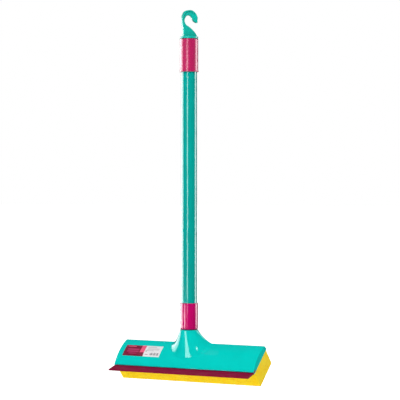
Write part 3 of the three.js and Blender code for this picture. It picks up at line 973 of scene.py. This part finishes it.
def grown_by_nodes(
    piece: bpy.types.Object, tree: bpy.types.GeometryNodeTree, values: dict
) -> bpy.types.Object:
    """Runs a geometry node tree on a piece once and keeps its result as a plain mesh.

    Args:
        piece: The object that the tree works on.
        tree: The node tree.
        values: What goes into the tree's inputs, by their names.

    Returns:
        The piece, with a plain mesh.
    """
    modifier = piece.modifiers.new(tree.name, "NODES")
    modifier.node_group = tree
    for item in tree.interface.items_tree:
        if item.in_out == "INPUT" and item.name in values:
            modifier[item.identifier] = values[item.name]
    return from_mesh_nodes(piece)


# ------------------------------------------------------------------ head


@dataclass
class HeadShell:
    """The moulded shell: crowned cover, blade channel and the flared, threaded socket."""

    half: float = 125.0
    end_round: float = 1.0
    wall: float = 2.0
    foot: float = 4.4
    crown_radius: float = 78.0
    crown_top: float = 15.8
    crown_y: float = 1.5
    lip_y: float = -28.2
    back_top_y: float = 24.2
    back_shoulder: tuple[float, float] = (25.3, 11.3)
    back_foot_y: float = 26.6
    channel: tuple[float, float] = (-22.8, 7.0)
    channel_radius: float = 2.0
    mouth: tuple[float, float] = (5.75, 8.25)
    jaw_y: float = -27.2
    channel_back: float = -18.8
    crown_front: float = -27.0
    crown_back: float = 22.9
    patch: float = 45.0
    corner: float = 50.0
    spoke_step: float = 2.5
    front_spokes: int = 36
    wings: tuple[float, ...] = (60.0, 80.0, 100.0, 114.0)
    flare_rings: int = 29
    crown_rings: int = 9
    bore_rings: int = 96
    rim: float = 14.7
    rim_round: float = 0.7
    bore: float = 10.1
    bore_depth: float = 23.5
    thread_reach: float = 9.6
    thread_groove: float = 1.7
    pitch: float = 5.0
    thread_phase: float = -19.6
    flare_side: float = 38.0
    flare_mid: float = 22.5
    flare_front: float = -15.0
    flare_collar: float = 0.03
    flare_sweep: float = 0.28
    flare_swing: float = 0.14

    def crown(self, y: float, drop: float = 0.0) -> float:
        """The crown's height at a place across it, or the height of what lies under it.

        Args:
            y: The place across the head.
            drop: How far under the surface.

        Returns:
            The height in the head's frame.
        """
        radius = self.crown_radius - drop
        return self.crown_top - self.crown_radius + math.sqrt(radius**2 - (y - self.crown_y) ** 2)

    def _side_places(self) -> list[float]:
        """The places across the crown that the socket's side spokes end at, from the front."""
        reach = self.crown_back - self.crown_front
        turns = np.radians(np.arange(self.corner, -0.1, -self.spoke_step))
        quarter = math.sin(math.radians(self.corner))
        return [self.crown_back - reach * math.sin(a) / quarter for a in turns]

    def _front_line(self) -> Outline:
        """The section from the foot round the channel and over the lip to the crown."""
        cy, cz = self.channel
        low, high = self.mouth
        start = math.asin((low - cz) / self.channel_radius)
        end = math.asin((high - cz) / self.channel_radius)
        round_channel = [
            (cy - self.channel_radius * math.cos(a), cz + self.channel_radius * math.sin(a))
            for a in np.linspace(start, -2 * math.pi + end, 22)
        ]
        jaw = filleted(
            [(self.channel_back - 1, self.foot), (self.jaw_y, self.foot), (self.jaw_y, low),
             round_channel[0]],
            [0, 0.35, 0.3, 0], steps=3, support=0.15,
        )
        lip = filleted(
            [round_channel[-1], (self.lip_y, high), (self.lip_y, self.crown(self.lip_y)),
             (self.crown_front, self.crown(self.crown_front))],
            [0, 0.35, 0.75, 0], support=0.15,
        )
        return jaw + round_channel[1:-1] + lip

    def _back_line(self) -> Outline:
        """The section from the crown over the back edge down to the foot."""
        return filleted(
            [(self.crown_back, self.crown(self.crown_back)),
             (self.back_top_y, self.crown(self.back_top_y)), self.back_shoulder,
             (self.back_foot_y, self.foot), (self.back_foot_y - self.wall, self.foot)],
            [0, 0.8, 0.8, 0.35, 0],
        )

    def _section(self) -> tuple[np.ndarray, np.ndarray, int, int]:
        """The whole outer section, from the foot's front round to its back.

        Returns:
            The points, how far each may be drawn in at the ends, and the first and last
            numbers of the crown's own points.
        """
        front, back = self._front_line(), self._back_line()
        crown = [(y, self.crown(y)) for y in self._side_places()]
        line = np.array(front[:-1] + crown + back[1:])
        first, last = len(front) - 1, len(front) - 2 + len(crown)
        ease = np.zeros(len(line))
        ease[first : last + 1] = 1.0
        for i in range(len(line)):
            y, z = line[i]
            if i < first:
                ease[i] = 0.55 * max(0.0, (z - self.mouth[1] - 0.2) / 1.5) if y < -25 else 0.0
            elif i <= last:
                ease[i] = min(1.0, 0.55 + 0.45 * (y - self.crown_front) / 6.0)
            else:
                ease[i] = max(0.0, min(1.0, (z - self.foot) / 5.0))
        return line, np.clip(ease, 0, 1), first, last

    def _end_columns(self, line: np.ndarray, ease: np.ndarray) -> list[tuple[float, np.ndarray]]:
        """The columns of the rounding at an end: how far along, and the section there."""
        outward = normals(line, closed=False)
        columns = [(self.half - self.end_round - 0.6, line)]
        for short, inset in quarter(self.end_round, 7):
            columns.append((self.half - short, line - outward * (inset * ease[:, None])))
        inset = (self.end_round + 0.35) * ease[:, None]
        columns.append((self.half, line - outward * inset))
        return columns

    @staticmethod
    def _at(x: float, section: np.ndarray) -> np.ndarray:
        """A section's points at a place along the head."""
        return np.column_stack([np.full(len(section), x), section])

    def _wings(self, skin: Skin, line: np.ndarray, ease: np.ndarray) -> None:
        """Adds the swept cover on both sides of the socket, with its rounded ends."""
        plain = [(x, line) for x in (self.patch, *self.wings)]
        columns = plain + self._end_columns(line, ease)
        for side in (-1, 1):
            rows = np.array([self._at(side * x, section) for x, section in columns])
            skin.grid(rows)
            skin.cap(rows[-1])

    def _spokes(self) -> tuple[np.ndarray, np.ndarray]:
        """The angle of each spoke round the socket, and where it ends on the patch's border."""
        wide = math.cos(math.radians(self.corner))
        reach = self.crown_back - self.crown_front
        quarter = math.sin(math.radians(self.corner))
        left, right, step = 180 + self.corner, 360 - self.corner, self.spoke_step
        spans = [
            (np.arange(0, 180, 2 * step), lambda a: (self.patch * math.cos(a), self.crown_back)),
            (np.arange(180, left, step),
             lambda a: (-self.patch, self.crown_back - reach * -math.sin(a) / quarter)),
            (np.linspace(left, right, self.front_spokes, endpoint=False),
             lambda a: (self.patch * math.cos(a) / wide, self.crown_front)),
            (np.arange(right, 360, step),
             lambda a: (self.patch, self.crown_back - reach * -math.sin(a) / quarter)),
        ]
        angles = np.radians(np.concatenate([span for span, _ in spans]))
        border = [rule(math.radians(a)) for span, rule in spans for a in span]
        return angles, np.array(border)

    def _in_head(self, points: np.ndarray) -> np.ndarray:
        """Turns points about the handle's axis at the rim into the head's frame."""
        back = np.array((TO_HEAD.inverted() @ TO_RIM), float)
        flat = np.asarray(points, float)
        return flat @ back[:3, :3].T + back[:3, 3]

    def _flare(self, skin: Skin, angles: np.ndarray, border: np.ndarray) -> None:
        """Adds the rim's rounding, the flare, and the crown between it and the patch's border."""
        axis = np.array((0.0, math.sin(HEAD_TILT), math.cos(HEAD_TILT)))
        edge = [(self.rim - inset, -drop) for inset, drop in quarter(self.rim_round, 6)]
        columns = []
        for angle, (end_x, end_y) in zip(angles, border):
            c, s = math.cos(angle), math.sin(angle)
            rim_edge = self._in_head(np.array([(r * c, r * s, z) for r, z in edge]))
            start = rim_edge[-1]
            forward = min(s, 0.0)
            foot_y = self.flare_mid + (self.flare_mid - self.flare_front) * forward
            foot = np.array((self.flare_side * c, foot_y, self.crown(foot_y)))
            run = np.linalg.norm(foot - start)
            sweep = (self.flare_sweep + self.flare_swing * s) * run
            slope = -(foot_y - self.crown_y) / math.sqrt(
                self.crown_radius**2 - (foot_y - self.crown_y) ** 2
            )
            outward = np.array((c, forward, slope * forward))
            hold = [start, start - self.flare_collar * run * axis, foot - sweep * outward, foot]
            t = np.linspace(0, 1, self.flare_rings)[1:, None]
            curve = (
                (1 - t) ** 3 * hold[0] + 3 * t * (1 - t) ** 2 * hold[1]
                + 3 * t**2 * (1 - t) * hold[2] + t**3 * hold[3]
            )
            out = np.linspace(0, 1, self.crown_rings)[1:]
            xs, ys = foot[0] + (end_x - foot[0]) * out, foot_y + (end_y - foot_y) * out
            plain = np.array([(x, y, self.crown(y)) for x, y in zip(xs, ys)])
            columns.append(np.vstack([rim_edge, curve, plain]))
        skin.grid(np.array(columns).transpose(1, 0, 2), ring=True)

    def _bore_radius(self, angle: float, z: float) -> float:
        """The bore's radius, wider where the thread's groove passes."""
        along = (z - self.thread_phase) / self.pitch - angle / (2 * math.pi)
        off = (along - round(along)) * self.pitch
        if z < self.thread_phase - 1.9 or abs(off) >= self.thread_groove:
            return self.bore
        return max(self.bore, self.thread_reach + math.sqrt(self.thread_groove**2 - off**2))

    def _socket(self, skin: Skin, angles: np.ndarray) -> None:
        """Adds the rim's face and the threaded bore down to its blind floor."""
        inner = self.rim - self.rim_round
        heights = np.concatenate([[0.0], np.linspace(-0.15, -self.bore_depth, self.bore_rings)])
        face = [(inner, 0.0), (inner - 0.35, 0.0), (self.bore + 1.6, 0.0)]
        rows = [[(r * math.cos(a), r * math.sin(a), z) for a in angles] for r, z in face]
        for z in heights:
            ring = [self._bore_radius(a, z) for a in angles]
            rows.append([(r * math.cos(a), r * math.sin(a), z) for r, a in zip(ring, angles)])
        floor = -self.bore_depth
        for r in (self.bore - 0.4, 4.0, 0.0):
            rows.append([(r * math.cos(a), r * math.sin(a), floor) for a in angles])
        skin.grid(self._in_head(np.array(rows)), ring=True)

    def _middle(self, skin: Skin, line: np.ndarray, first: int, last: int) -> tuple[list, list]:
        """Adds the front and back of the cover beneath the socket.

        Returns:
            The places along the head of the front's columns and the back's.
        """
        wide = math.cos(math.radians(self.corner))
        turns = np.linspace(180 - self.corner, self.corner, self.front_spokes + 1)
        front = [self.patch * math.cos(math.radians(a)) / wide for a in turns]
        turns = np.arange(180, -1, -2 * self.spoke_step)
        back = [self.patch * math.cos(math.radians(a)) for a in turns]
        skin.grid(np.array([self._at(x, line[: first + 1]) for x in front]))
        skin.grid(np.array([self._at(x, line[last:]) for x in back]))
        return front, back

    def _hollow(self, skin: Skin, line: np.ndarray, front: list, back: list) -> None:
        """Adds the foot's face and the hollow that the plate closes."""
        ends = [x for x, _ in self._end_columns(line, np.zeros(len(line)))][:-1]
        wings = [*self.wings, *ends]
        near = [*(-x for x in reversed(wings)), *front, *wings]
        far = [*(-x for x in reversed(wings)), *back, *wings]
        inner_x, inner_y = self.half - self.wall, self.back_foot_y - self.wall
        for places, (y, z) in ((near, line[0]), (far, line[-1])):
            edge = np.array([(x, y, z) for x in places])
            inside = self.channel_back if y < 0 else inner_y
            skin.strip(edge, np.array([(-inner_x, inside, z), (inner_x, inside, z)]))
        for side in (-1, 1):
            x = side * self.half
            inset = side * inner_x
            skin.cap(np.array([
                (x, *line[0]), (x, *line[-1]), (inset, inner_y, self.foot),
                (inset, self.channel_back, self.foot),
            ]))
        shoulder = (self.back_shoulder[0] - self.wall, self.back_shoulder[1] - 0.8)
        ceiling = [(y, self.crown(y, self.wall)) for y in
                   np.linspace(self.channel_back, self.back_top_y - self.wall, 16)]
        hollow = np.array(
            [(self.channel_back, self.foot), *ceiling, shoulder, (inner_y, self.foot)]
        )
        rows = np.array([self._at(x, hollow) for x in (-inner_x, inner_x)])
        skin.grid(rows)
        skin.cap(rows[0])
        skin.cap(rows[1])

    def build(self) -> bpy.types.Object:
        """Builds the shell as one closed skin."""
        skin = Skin()
        line, ease, first, last = self._section()
        angles, border = self._spokes()
        self._wings(skin, line, ease)
        self._flare(skin, angles, border)
        self._socket(skin, angles)
        front, back = self._middle(skin, line, first, last)
        self._hollow(skin, line, front, back)
        return skin.built("shell", TO_HEAD)

    def dress(self, shell: bpy.types.Object, finishes: dict) -> None:
        """Gives the shell its finish and body, and the frame's own plate its finish."""
        settle(shell, finishes[Finish.SHELL], "head", Finish.SHELL, "head_shell")
        finish_node("sponge_plate", finishes[Finish.PLATE])


# ------------------------------------------------------------------ sponge, blade and label


@dataclass
class SpongeBlock:
    """The foam block under the plate, with soft edges and open pores."""

    length: float = 249.4
    front: float = -25.0
    back: float = 24.7
    foot: float = -26.0
    top: float = 4.1
    edge: float = 0.9
    cell: float = 1.0
    pore_depth: float = 0.55
    pore_scale: float = 330.0
    uneven_scale: float = 140.0
    seed: float = 3.0
    swell: float = 0.2

    def _blank(self) -> bpy.types.Object:
        """Builds the plain block as an even net of small faces."""
        sizes = np.array((self.length, self.back - self.front, self.top - self.foot))
        middle = np.array((0.0, (self.back + self.front) / 2, (self.top + self.foot) / 2))
        counts = [max(2, round(size / self.cell)) for size in sizes]
        skin = Skin()
        for axis in range(3):
            across, up = [other for other in range(3) if other != axis]
            u = np.linspace(-0.5, 0.5, counts[across] + 1) * sizes[across]
            v = np.linspace(-0.5, 0.5, counts[up] + 1) * sizes[up]
            for side in (-0.5, 0.5):
                face = np.zeros((len(v), len(u), 3))
                face[..., across], face[..., up] = np.meshgrid(u, v)
                face[..., axis] = side * sizes[axis]
                skin.grid(self._softened(face, sizes) + middle)
        return skin.built("sponge_block", TO_HEAD, crease=180)

    def _softened(self, points: np.ndarray, sizes: np.ndarray) -> np.ndarray:
        """Rounds the block's edges and lets its free faces swell a little.

        Args:
            points: Points on the plain block, about its middle.
            sizes: The block's three sizes.

        Returns:
            The moved points.
        """
        core = np.clip(points, -sizes / 2 + self.edge, sizes / 2 - self.edge)
        away = points - core
        far = np.linalg.norm(away, axis=-1, keepdims=True)
        round_off = np.where(far > 1e-9, away / np.maximum(far, 1e-9) * self.edge, 0.0)
        share = points / sizes + 0.5
        bulge = np.sin(np.pi * share[..., 1:2]) * np.sin(np.pi * share[..., 2:3])
        at_end = np.abs(share[..., 0:1] - 0.5) > 0.49
        moved = core + round_off
        moved[..., 0:1] += np.sign(points[..., 0:1]) * bulge * self.swell * at_end
        return moved

    def _pore_tree(self) -> bpy.types.GeometryNodeTree:
        """Builds the node tree that sinks pores into a skin."""
        wiring, given = new_tree("foam_pores", ("Pore Scale", "Pore Depth", "Seed"))
        place = wiring.node("GeometryNodeInputPosition").outputs[0]
        cells = wiring.node(
            "ShaderNodeTexVoronoi",
            {"Vector": place, "W": given["Seed"], "Scale": given["Pore Scale"]},
            voronoi_dimensions="4D",
        ).outputs["Distance"]
        uneven = wiring.noise(place, self.uneven_scale, 3.0)
        pits = wiring.spread(cells, 0.1, 0.5, (1.0, 0.0))
        some = wiring.maths("MULTIPLY", pits, wiring.spread(uneven, 0.35, 0.6, (0.25, 1.0)))
        waves = wiring.maths("MULTIPLY", wiring.maths("SUBTRACT", uneven, 0.5), 0.5)
        sunk = wiring.maths("MULTIPLY", wiring.maths("SUBTRACT", waves, some), given["Pore Depth"])
        facing = wiring.node("GeometryNodeInputNormal").outputs[0]
        shift = wiring.node(
            "ShaderNodeVectorMath", {0: facing, "Scale": sunk}, operation="SCALE"
        ).outputs[0]
        pitted = wiring.node(
            "GeometryNodeSetPosition", {"Geometry": given["Geometry"], "Offset": shift}
        ).outputs[0]
        return ended_tree(wiring, pitted, given["Finish"])

    def build(self, finish: bpy.types.Material) -> bpy.types.Object:
        """Builds the sponge with its pores."""
        block = self._blank()
        sizes = {
            "Pore Scale": self.pore_scale,
            "Pore Depth": self.pore_depth * MILLIMETRE,
            "Seed": self.seed,
            "Finish": finish,
        }
        return grown_by_nodes(block, self._pore_tree(), sizes)

    def dress(self, sponge: bpy.types.Object, finishes: dict) -> None:
        """Gives the sponge its finish and body."""
        settle(sponge, finishes[Finish.SPONGE], "head", Finish.SPONGE, "sponge")


@dataclass
class RubberBlade:
    """The wiping blade: a bead in the shell's channel, a neck and a tapered lip."""

    half: float = 125.0
    centre: tuple[float, float] = (-22.8, 7.0)
    bead: float = 1.65
    neck: tuple[float, float] = (6.1, 7.9)
    top: tuple = ((-28.6, 8.0), (-45.7, 16.2))
    bottom: tuple = ((-28.2, 5.3), (-46.4, 14.3))
    end_round: float = 0.25

    def _line(self) -> Outline:
        """The blade's section, going round from the neck's top."""
        cy, cz = self.centre
        low, high = self.neck
        start = math.asin((high - cz) / self.bead)
        bead = [
            (cy - self.bead * math.cos(a), cz + self.bead * math.sin(a))
            for a in np.linspace(-start, -2 * math.pi + start, 20)
        ]
        lip = filleted(
            [bead[-1], (self.top[0][0] + 0.4, high), *self.top, self.bottom[1], self.bottom[0],
             (self.bottom[0][0], low), bead[0]],
            [0, 0.4, 0.5, 0.45, 0.3, 0.6, 0.25, 0], steps=4, support=0.25,
        )
        return bead[:-1] + lip[:-1]

    def build(self) -> bpy.types.Object:
        """Builds the blade as one long closed strip."""
        line = np.array(self._line())
        inward = -normals(line, closed=True)
        centre = line.mean(axis=0)
        if ((centre - line) * inward).sum() < 0:
            inward = -inward
        ends = [(self.half - short, inset) for short, inset in quarter(self.end_round, 4)]
        right = [(self.half - 1.0, 0.0), *ends, (self.half, self.end_round + 0.15)]
        columns = [(-x, inset) for x, inset in reversed(right)]
        columns += [(x, 0.0) for x in np.linspace(-100, 100, 21)] + right
        rows = np.array([
            np.column_stack([np.full(len(line), x), line + inward * inset]) for x, inset in columns
        ])
        skin = Skin()
        skin.grid(rows, ring=True)
        skin.cap(rows[0])
        skin.cap(rows[-1])
        return skin.built("wiping_blade", TO_HEAD)

    def dress(self, blade: bpy.types.Object, finish: bpy.types.Material) -> None:
        """Gives the blade its finish and body."""
        settle(blade, finish, "wiper", Finish.BLADE, "blade")


@dataclass
class PrintedLabel:
    """The thin printed film on the crown, with plain blocks and bars for its print."""

    shell: HeadShell
    span: tuple[float, float] = (-115.0, -47.5)
    across: tuple[float, float] = (-12.8, 9.3)
    lift: tuple[float, float] = (0.12, 0.3)

    def build(self) -> bpy.types.Object:
        """Builds the film, curved to the crown, with its own print coordinates."""
        places = np.linspace(*self.across, 25)
        columns = np.linspace(*self.span, 13)
        inner, outer = self.lift
        top = np.array([[(x, y, self.shell.crown(y, -outer)) for x in columns] for y in places])
        under = np.array([[(x, y, self.shell.crown(y, -inner)) for x in columns] for y in places])
        skin = Skin()
        skin.grid(top)
        skin.grid(under)
        for line in (0, -1):
            skin.grid(np.array([top[line], under[line]]))
            skin.grid(np.array([top[:, line], under[:, line]]))
        label = skin.built("label_film", TO_HEAD)
        back = TO_HEAD.inverted()
        sheet = label.data.uv_layers.new(name="print")
        for loop in label.data.loops:
            spot = back @ (label.data.vertices[loop.vertex_index].co / MILLIMETRE)
            sheet.data[loop.index].uv = (
                (spot.x - self.span[0]) / (self.span[1] - self.span[0]),
                (spot.y - self.across[0]) / (self.across[1] - self.across[0]),
            )
        return label

    def finish(self, effects: SharedEffects) -> bpy.types.Material:
        """Builds the film's printed material.

        Args:
            effects: The shared groups.

        Returns:
            The material.
        """
        material, wiring, shader = new_material("printed_film")
        sheet = wiring.node("ShaderNodeUVMap", uv_map="print").outputs[0]
        parts = wiring.node("ShaderNodeSeparateXYZ", {0: sheet}).outputs
        crimson, deep = colour(120, 0, 46), colour(98, 0, 36)
        pink, rose = colour(228, 84, 120), colour(170, 44, 92)
        white, grey, dark = colour(222, 220, 222), colour(168, 164, 170), colour(92, 84, 90)
        blocks = [
            (0.0, 0.555, 0.0, 1.0, crimson), (0.0, 0.555, 0.0, 0.07, deep),
            (0.435, 0.555, 0.34, 1.0, pink), (0.05, 0.28, 0.85, 0.93, pink),
            (0.08, 0.4, 0.52, 0.66, rose), (0.08, 0.4, 0.34, 0.46, rose),
            (0.14, 0.36, 0.2, 0.26, rose), (0.6, 0.84, 0.84, 0.89, grey),
            (0.62, 0.93, 0.7, 0.74, grey), (0.6, 0.93, 0.6, 0.64, grey),
            (0.6, 0.8, 0.5, 0.54, grey), (0.58, 0.62, 0.44, 0.5, colour(120, 150, 130)),
            (0.6, 0.68, 0.16, 0.2, rose),
        ]
        blocks += [
            (0.72 + 0.028 * i, 0.72 + 0.028 * i + (0.008 + 0.006 * (i * 5 % 3)), 0.12, 0.34, dark)
            for i in range(9)
        ]
        shown = wiring.mixed(0.0, white, white)
        for left, right, low, high, ink in blocks:
            edges = {"Across": parts[0], "Up": parts[1], "Left": left, "Right": right,
                     "Low": low, "High": high}
            mask = placed_group(wiring, effects.print, edges).outputs[0]
            shown = wiring.mixed(mask, shown, ink)
        grain = placed_group(wiring, effects.grain, {"Scale": 2600.0, "Flow": 90.0})
        faded = wiring.maths("MULTIPLY", grain.outputs["Tone"], 0.06)
        swing = wiring.maths("MULTIPLY", grain.outputs["Tone"], 0.1)
        wiring.fill(shader, {
            "Base Color": wiring.mixed(faded, shown, grey),
            "Specular IOR Level": 0.2,
            "Roughness": wiring.maths("ADD", swing, 0.28),
            "Normal": wiring.bump(grain.outputs["Height"], 0.15, 0.00002),
        })
        return material

    def dress(self, label: bpy.types.Object, effects: SharedEffects) -> None:
        """Gives the film its print and its body."""
        settle(label, self.finish(effects), "head", Finish.LABEL, "label")


# ------------------------------------------------------------------ studio


class Throw(Enum):
    """What a light does: light surfaces, or show as a reflection in them."""

    SOFT = (True, False)
    SHINE = (False, True)


class Reach(Enum):
    """Which pieces a light reaches."""

    ALL = ""
    SHELL = "INCLUDE"
    REST = "EXCLUDE"


@dataclass(frozen=True)
class Softbox:
    """One soft studio light, placed by its direction from the tool's middle.

    Attributes:
        name: The light's name.
        azimuth: Degrees to the right of the camera.
        elevation: Degrees up.
        distance: Metres away.
        size: Width and height in metres.
        glow: How bright its face is.
        aim: Height that it points at, in metres.
        throw: What it does.
        reach: Which pieces it reaches.
    """

    name: str
    azimuth: float
    elevation: float
    distance: float
    size: tuple[float, float]
    glow: float
    aim: float
    throw: Throw
    reach: Reach = Reach.ALL

    def build(self, camera_azimuth: float, shell: bpy.types.Object) -> None:
        """Adds the light, facing the tool.

        Args:
            camera_azimuth: The camera's own direction in degrees.
            shell: The head's shell, which some lights single out.
        """
        lamp = bpy.data.lights.new(self.name, "AREA")
        lamp.shape = "RECTANGLE"
        lamp.size, lamp.size_y = self.size
        lamp.energy = self.glow * math.pi * self.size[0] * self.size[1]
        light = bpy.data.objects.new(self.name, lamp)
        turn = math.radians(camera_azimuth + self.azimuth)
        rise = math.radians(self.elevation)
        away = Vector((math.sin(turn) * math.cos(rise), -math.cos(turn) * math.cos(rise),
                       math.sin(rise)))
        light.location = away * self.distance + Vector((0, 0, self.aim))
        light.rotation_euler = away.to_track_quat("Z", "Y").to_euler()
        light.visible_camera = False
        light.visible_diffuse, light.visible_glossy = self.throw.value
        bpy.context.scene.collection.objects.link(light)
        if self.reach is not Reach.ALL:
            chosen = bpy.data.collections.new(self.name + "_reach")
            chosen.objects.link(shell)
            chosen.collection_objects[0].light_linking.link_state = self.reach.value
            light.light_linking.receiver_collection = chosen


@dataclass
class Studio:
    """A plain pale floor, soft lights and the camera."""

    azimuth: float = 29.7
    height: float = -0.2724
    distance: float = 2.718
    lens: float = 155.8
    shift: tuple[float, float] = (0.0274, -0.0273)
    floor_gap: float = 0.06
    floor_reach: float = 30.0
    floor_seen: float = 0.8
    floor_thrown: float = 0.25
    world_thrown: float = 0.36
    world_mirrored: float = 0.05
    lights: tuple[Softbox, ...] = (
        Softbox("key", -8, 50, 2.4, (1.6, 1.2), 6.8, -0.5, Throw.SOFT),
        Softbox("fill", -45, 5, 2.6, (1.0, 1.0), 2.0, -0.3, Throw.SOFT),
        Softbox("stripe", -23, 0, 2.0, (0.4, 0.84), 14.0, -0.17, Throw.SHINE, Reach.REST),
        Softbox("glint", -60, 0, 1.0, (0.34, 0.1), 14.0, -0.57, Throw.SHINE, Reach.REST),
        Softbox("left_rim", -119, 0, 1.6, (1.7, 1.2), 10.0, -0.15, Throw.SHINE, Reach.REST),
        Softbox("right_rim", 108, 0, 1.6, (0.95, 1.3), 9.0, 0.02, Throw.SHINE, Reach.REST),
        Softbox("wedge", -47.5, 0, 0.45, (0.15, 0.175), 9.0, -0.513, Throw.SHINE, Reach.SHELL),
        Softbox("window", -1, 0, 6.0, (0.95, 0.62), 16.0, 0.78, Throw.SHINE, Reach.SHELL),
        Softbox("left_edge", -131, 0, 1.6, (1.2, 0.9), 4.5, -0.17, Throw.SHINE, Reach.SHELL),
        Softbox("right_edge", 118, 0, 1.6, (0.8, 1.2), 3.0, 0.28, Throw.SHINE, Reach.SHELL),
    )

    def camera(self) -> None:
        """Places the camera level with the middle of the tool."""
        view = bpy.data.cameras.new("camera")
        view.lens = self.lens
        view.sensor_width = 36.0
        view.shift_x, view.shift_y = self.shift
        turn = math.radians(self.azimuth)
        seat = bpy.data.objects.new("camera", view)
        seat.location = (
            math.sin(turn) * self.distance, -math.cos(turn) * self.distance, self.height
        )
        seat.rotation_euler = (math.pi / 2, 0.0, turn)
        bpy.context.scene.collection.objects.link(seat)
        bpy.context.scene.camera = seat

    def floor(self) -> None:
        """Lays the floor under the tool, with a soft glow that it throws up at the sponge."""
        low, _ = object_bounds()
        reach, level = self.floor_reach, low[2] - self.floor_gap
        mesh = bpy.data.meshes.new("floor")
        corners = [(-reach, -reach, level), (reach, -reach, level), (reach, reach, level),
                   (-reach, reach, level)]
        mesh.from_pydata(corners, [], [(0, 1, 2, 3)])
        floor = linked("floor", mesh)
        material, wiring, shader = new_material("pale_floor")
        cloud = wiring.noise(wiring.place(), 3.0)
        path = wiring.node("ShaderNodeLightPath").outputs
        seen = wiring.maths("MULTIPLY", path["Is Camera Ray"], self.floor_seen)
        thrown = wiring.maths("MULTIPLY", path["Is Diffuse Ray"], self.floor_thrown)
        wiring.fill(shader, {
            "Base Color": wiring.mixed(cloud, colour(250, 250, 250), colour(246, 246, 246)),
            "Roughness": 0.9,
            "Emission Color": (1, 1, 1, 1),
            "Emission Strength": wiring.maths("ADD", seen, thrown),
        })
        mesh.materials.append(material)
        floor.visible_glossy = False
        floor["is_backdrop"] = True

    def backdrop(self) -> None:
        """Makes the world white to look at and a softer grey as a light."""
        world = bpy.data.worlds.new("studio")
        bpy.context.scene.world = world
        world.use_nodes = True
        wiring = Wiring(world.node_tree)
        shader = world.node_tree.nodes["Background"]
        path = wiring.node("ShaderNodeLightPath").outputs
        levels = (self.world_thrown, self.world_mirrored)
        thrown = wiring.spread(path["Is Glossy Ray"], 0.0, 1.0, levels)
        strength = wiring.maths("MAXIMUM", thrown, path["Is Camera Ray"])
        wiring.fill(shader, {"Color": (1, 1, 1, 1), "Strength": strength})

    def light(self, shell: bpy.types.Object) -> None:
        """Places the lights round the finished tool."""
        for lamp in self.lights:
            lamp.build(self.azimuth, shell)

    def build(self) -> None:
        """Builds the camera, the floor and the backdrop."""
        self.camera()
        self.floor()
        self.backdrop()
        settings = bpy.context.scene.view_settings
        settings.view_transform = "Standard"
        settings.look = "None"


# ------------------------------------------------------------------ the whole tool


def finishes(effects: SharedEffects) -> dict[Finish, bpy.types.Material]:
    """Builds the tool's plain finishes, by slot."""
    plastics = {
        Finish.HOOK: MouldedPlastic(
            "hook_plastic", colour(0, 176, 160), colour(0, 168, 153), 0.26, dust=0.015, wear=0.1,
            subsurface=0.05
        ),
        Finish.BUSH: MouldedPlastic(
            "bush_plastic", colour(226, 226, 222), colour(216, 216, 212), 0.45
        ),
        Finish.GRIP: MouldedPlastic(
            "grip_plastic", colour(176, 22, 86), colour(166, 16, 78), 0.26, dust=0.01, wear=0.08,
            reflectance=0.5, sheen=0.3, grain_depth=0.00006
        ),
        Finish.TUBE: MouldedPlastic(
            "tube_plastic", colour(0, 154, 145), colour(0, 148, 139), 0.08, 0.04, dust=0.02,
            wear=0.1
        ),
        Finish.COLLAR: MouldedPlastic(
            "collar_plastic", colour(192, 0, 100), colour(182, 0, 93), 0.09, 0.04, dust=0.01,
            wear=0.04
        ),
        # The seal ring's dark plum is partly its rubber and partly painted shade of the gap between
        # the collar and the socket's rim.
        Finish.RING: MouldedPlastic(
            "ring_rubber", colour(70, 60, 84), colour(60, 52, 72), 0.6, wear=0.1
        ),
        Finish.SHELL: MouldedPlastic(
            "shell_plastic", colour(0, 200, 190), colour(0, 195, 185), 0.05, 0.03, dust=0.01,
            wear=0.08
        ),
        Finish.PLATE: MouldedPlastic(
            "plate_plastic", colour(0, 184, 174), colour(0, 176, 166), 0.4
        ),
        Finish.BLADE: MouldedPlastic(
            "blade_rubber", colour(138, 4, 54), colour(128, 2, 49), 0.5, dust=0.01, wear=0.06,
            reflectance=0.05, grain_depth=0.00005
        ),
    }
    made = {slot: plastic.material(effects) for slot, plastic in plastics.items()}
    made[Finish.STEEL] = DrawnSteel().material(effects)
    # The foam's second colour is painted shade for its pores.
    made[Finish.SPONGE] = OpenFoam(
        "sponge_foam", colour(255, 215, 20), colour(222, 158, 6), colour(255, 225, 44)
    ).material()
    return made


def main() -> None:
    """Builds the tool piece by piece round the frame, and the studio round the tool."""
    logging.basicConfig(level=logging.INFO, format="%(message)s")
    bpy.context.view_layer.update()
    studio = Studio()
    studio.build()
    effects = SharedEffects()
    made = finishes(effects)
    hook = HookCap()
    hook.dress(hook.build(), made[Finish.HOOK])
    handle = Handle()
    handle.dress(handle.tube_skin(), handle.grip(), made)
    coupling = ScrewCoupling()
    coupling.dress(coupling.build(made[Finish.COLLAR]), coupling.ring(), made)
    shell = HeadShell()
    cover = shell.build()
    shell.dress(cover, made)
    studio.light(cover)
    sponge = SpongeBlock()
    sponge.dress(sponge.build(made[Finish.SPONGE]), made)
    blade = RubberBlade()
    blade.dress(blade.build(), made[Finish.BLADE])
    label = PrintedLabel(shell)
    label.dress(label.build(), effects)


if __name__ == "__main__":
    main()
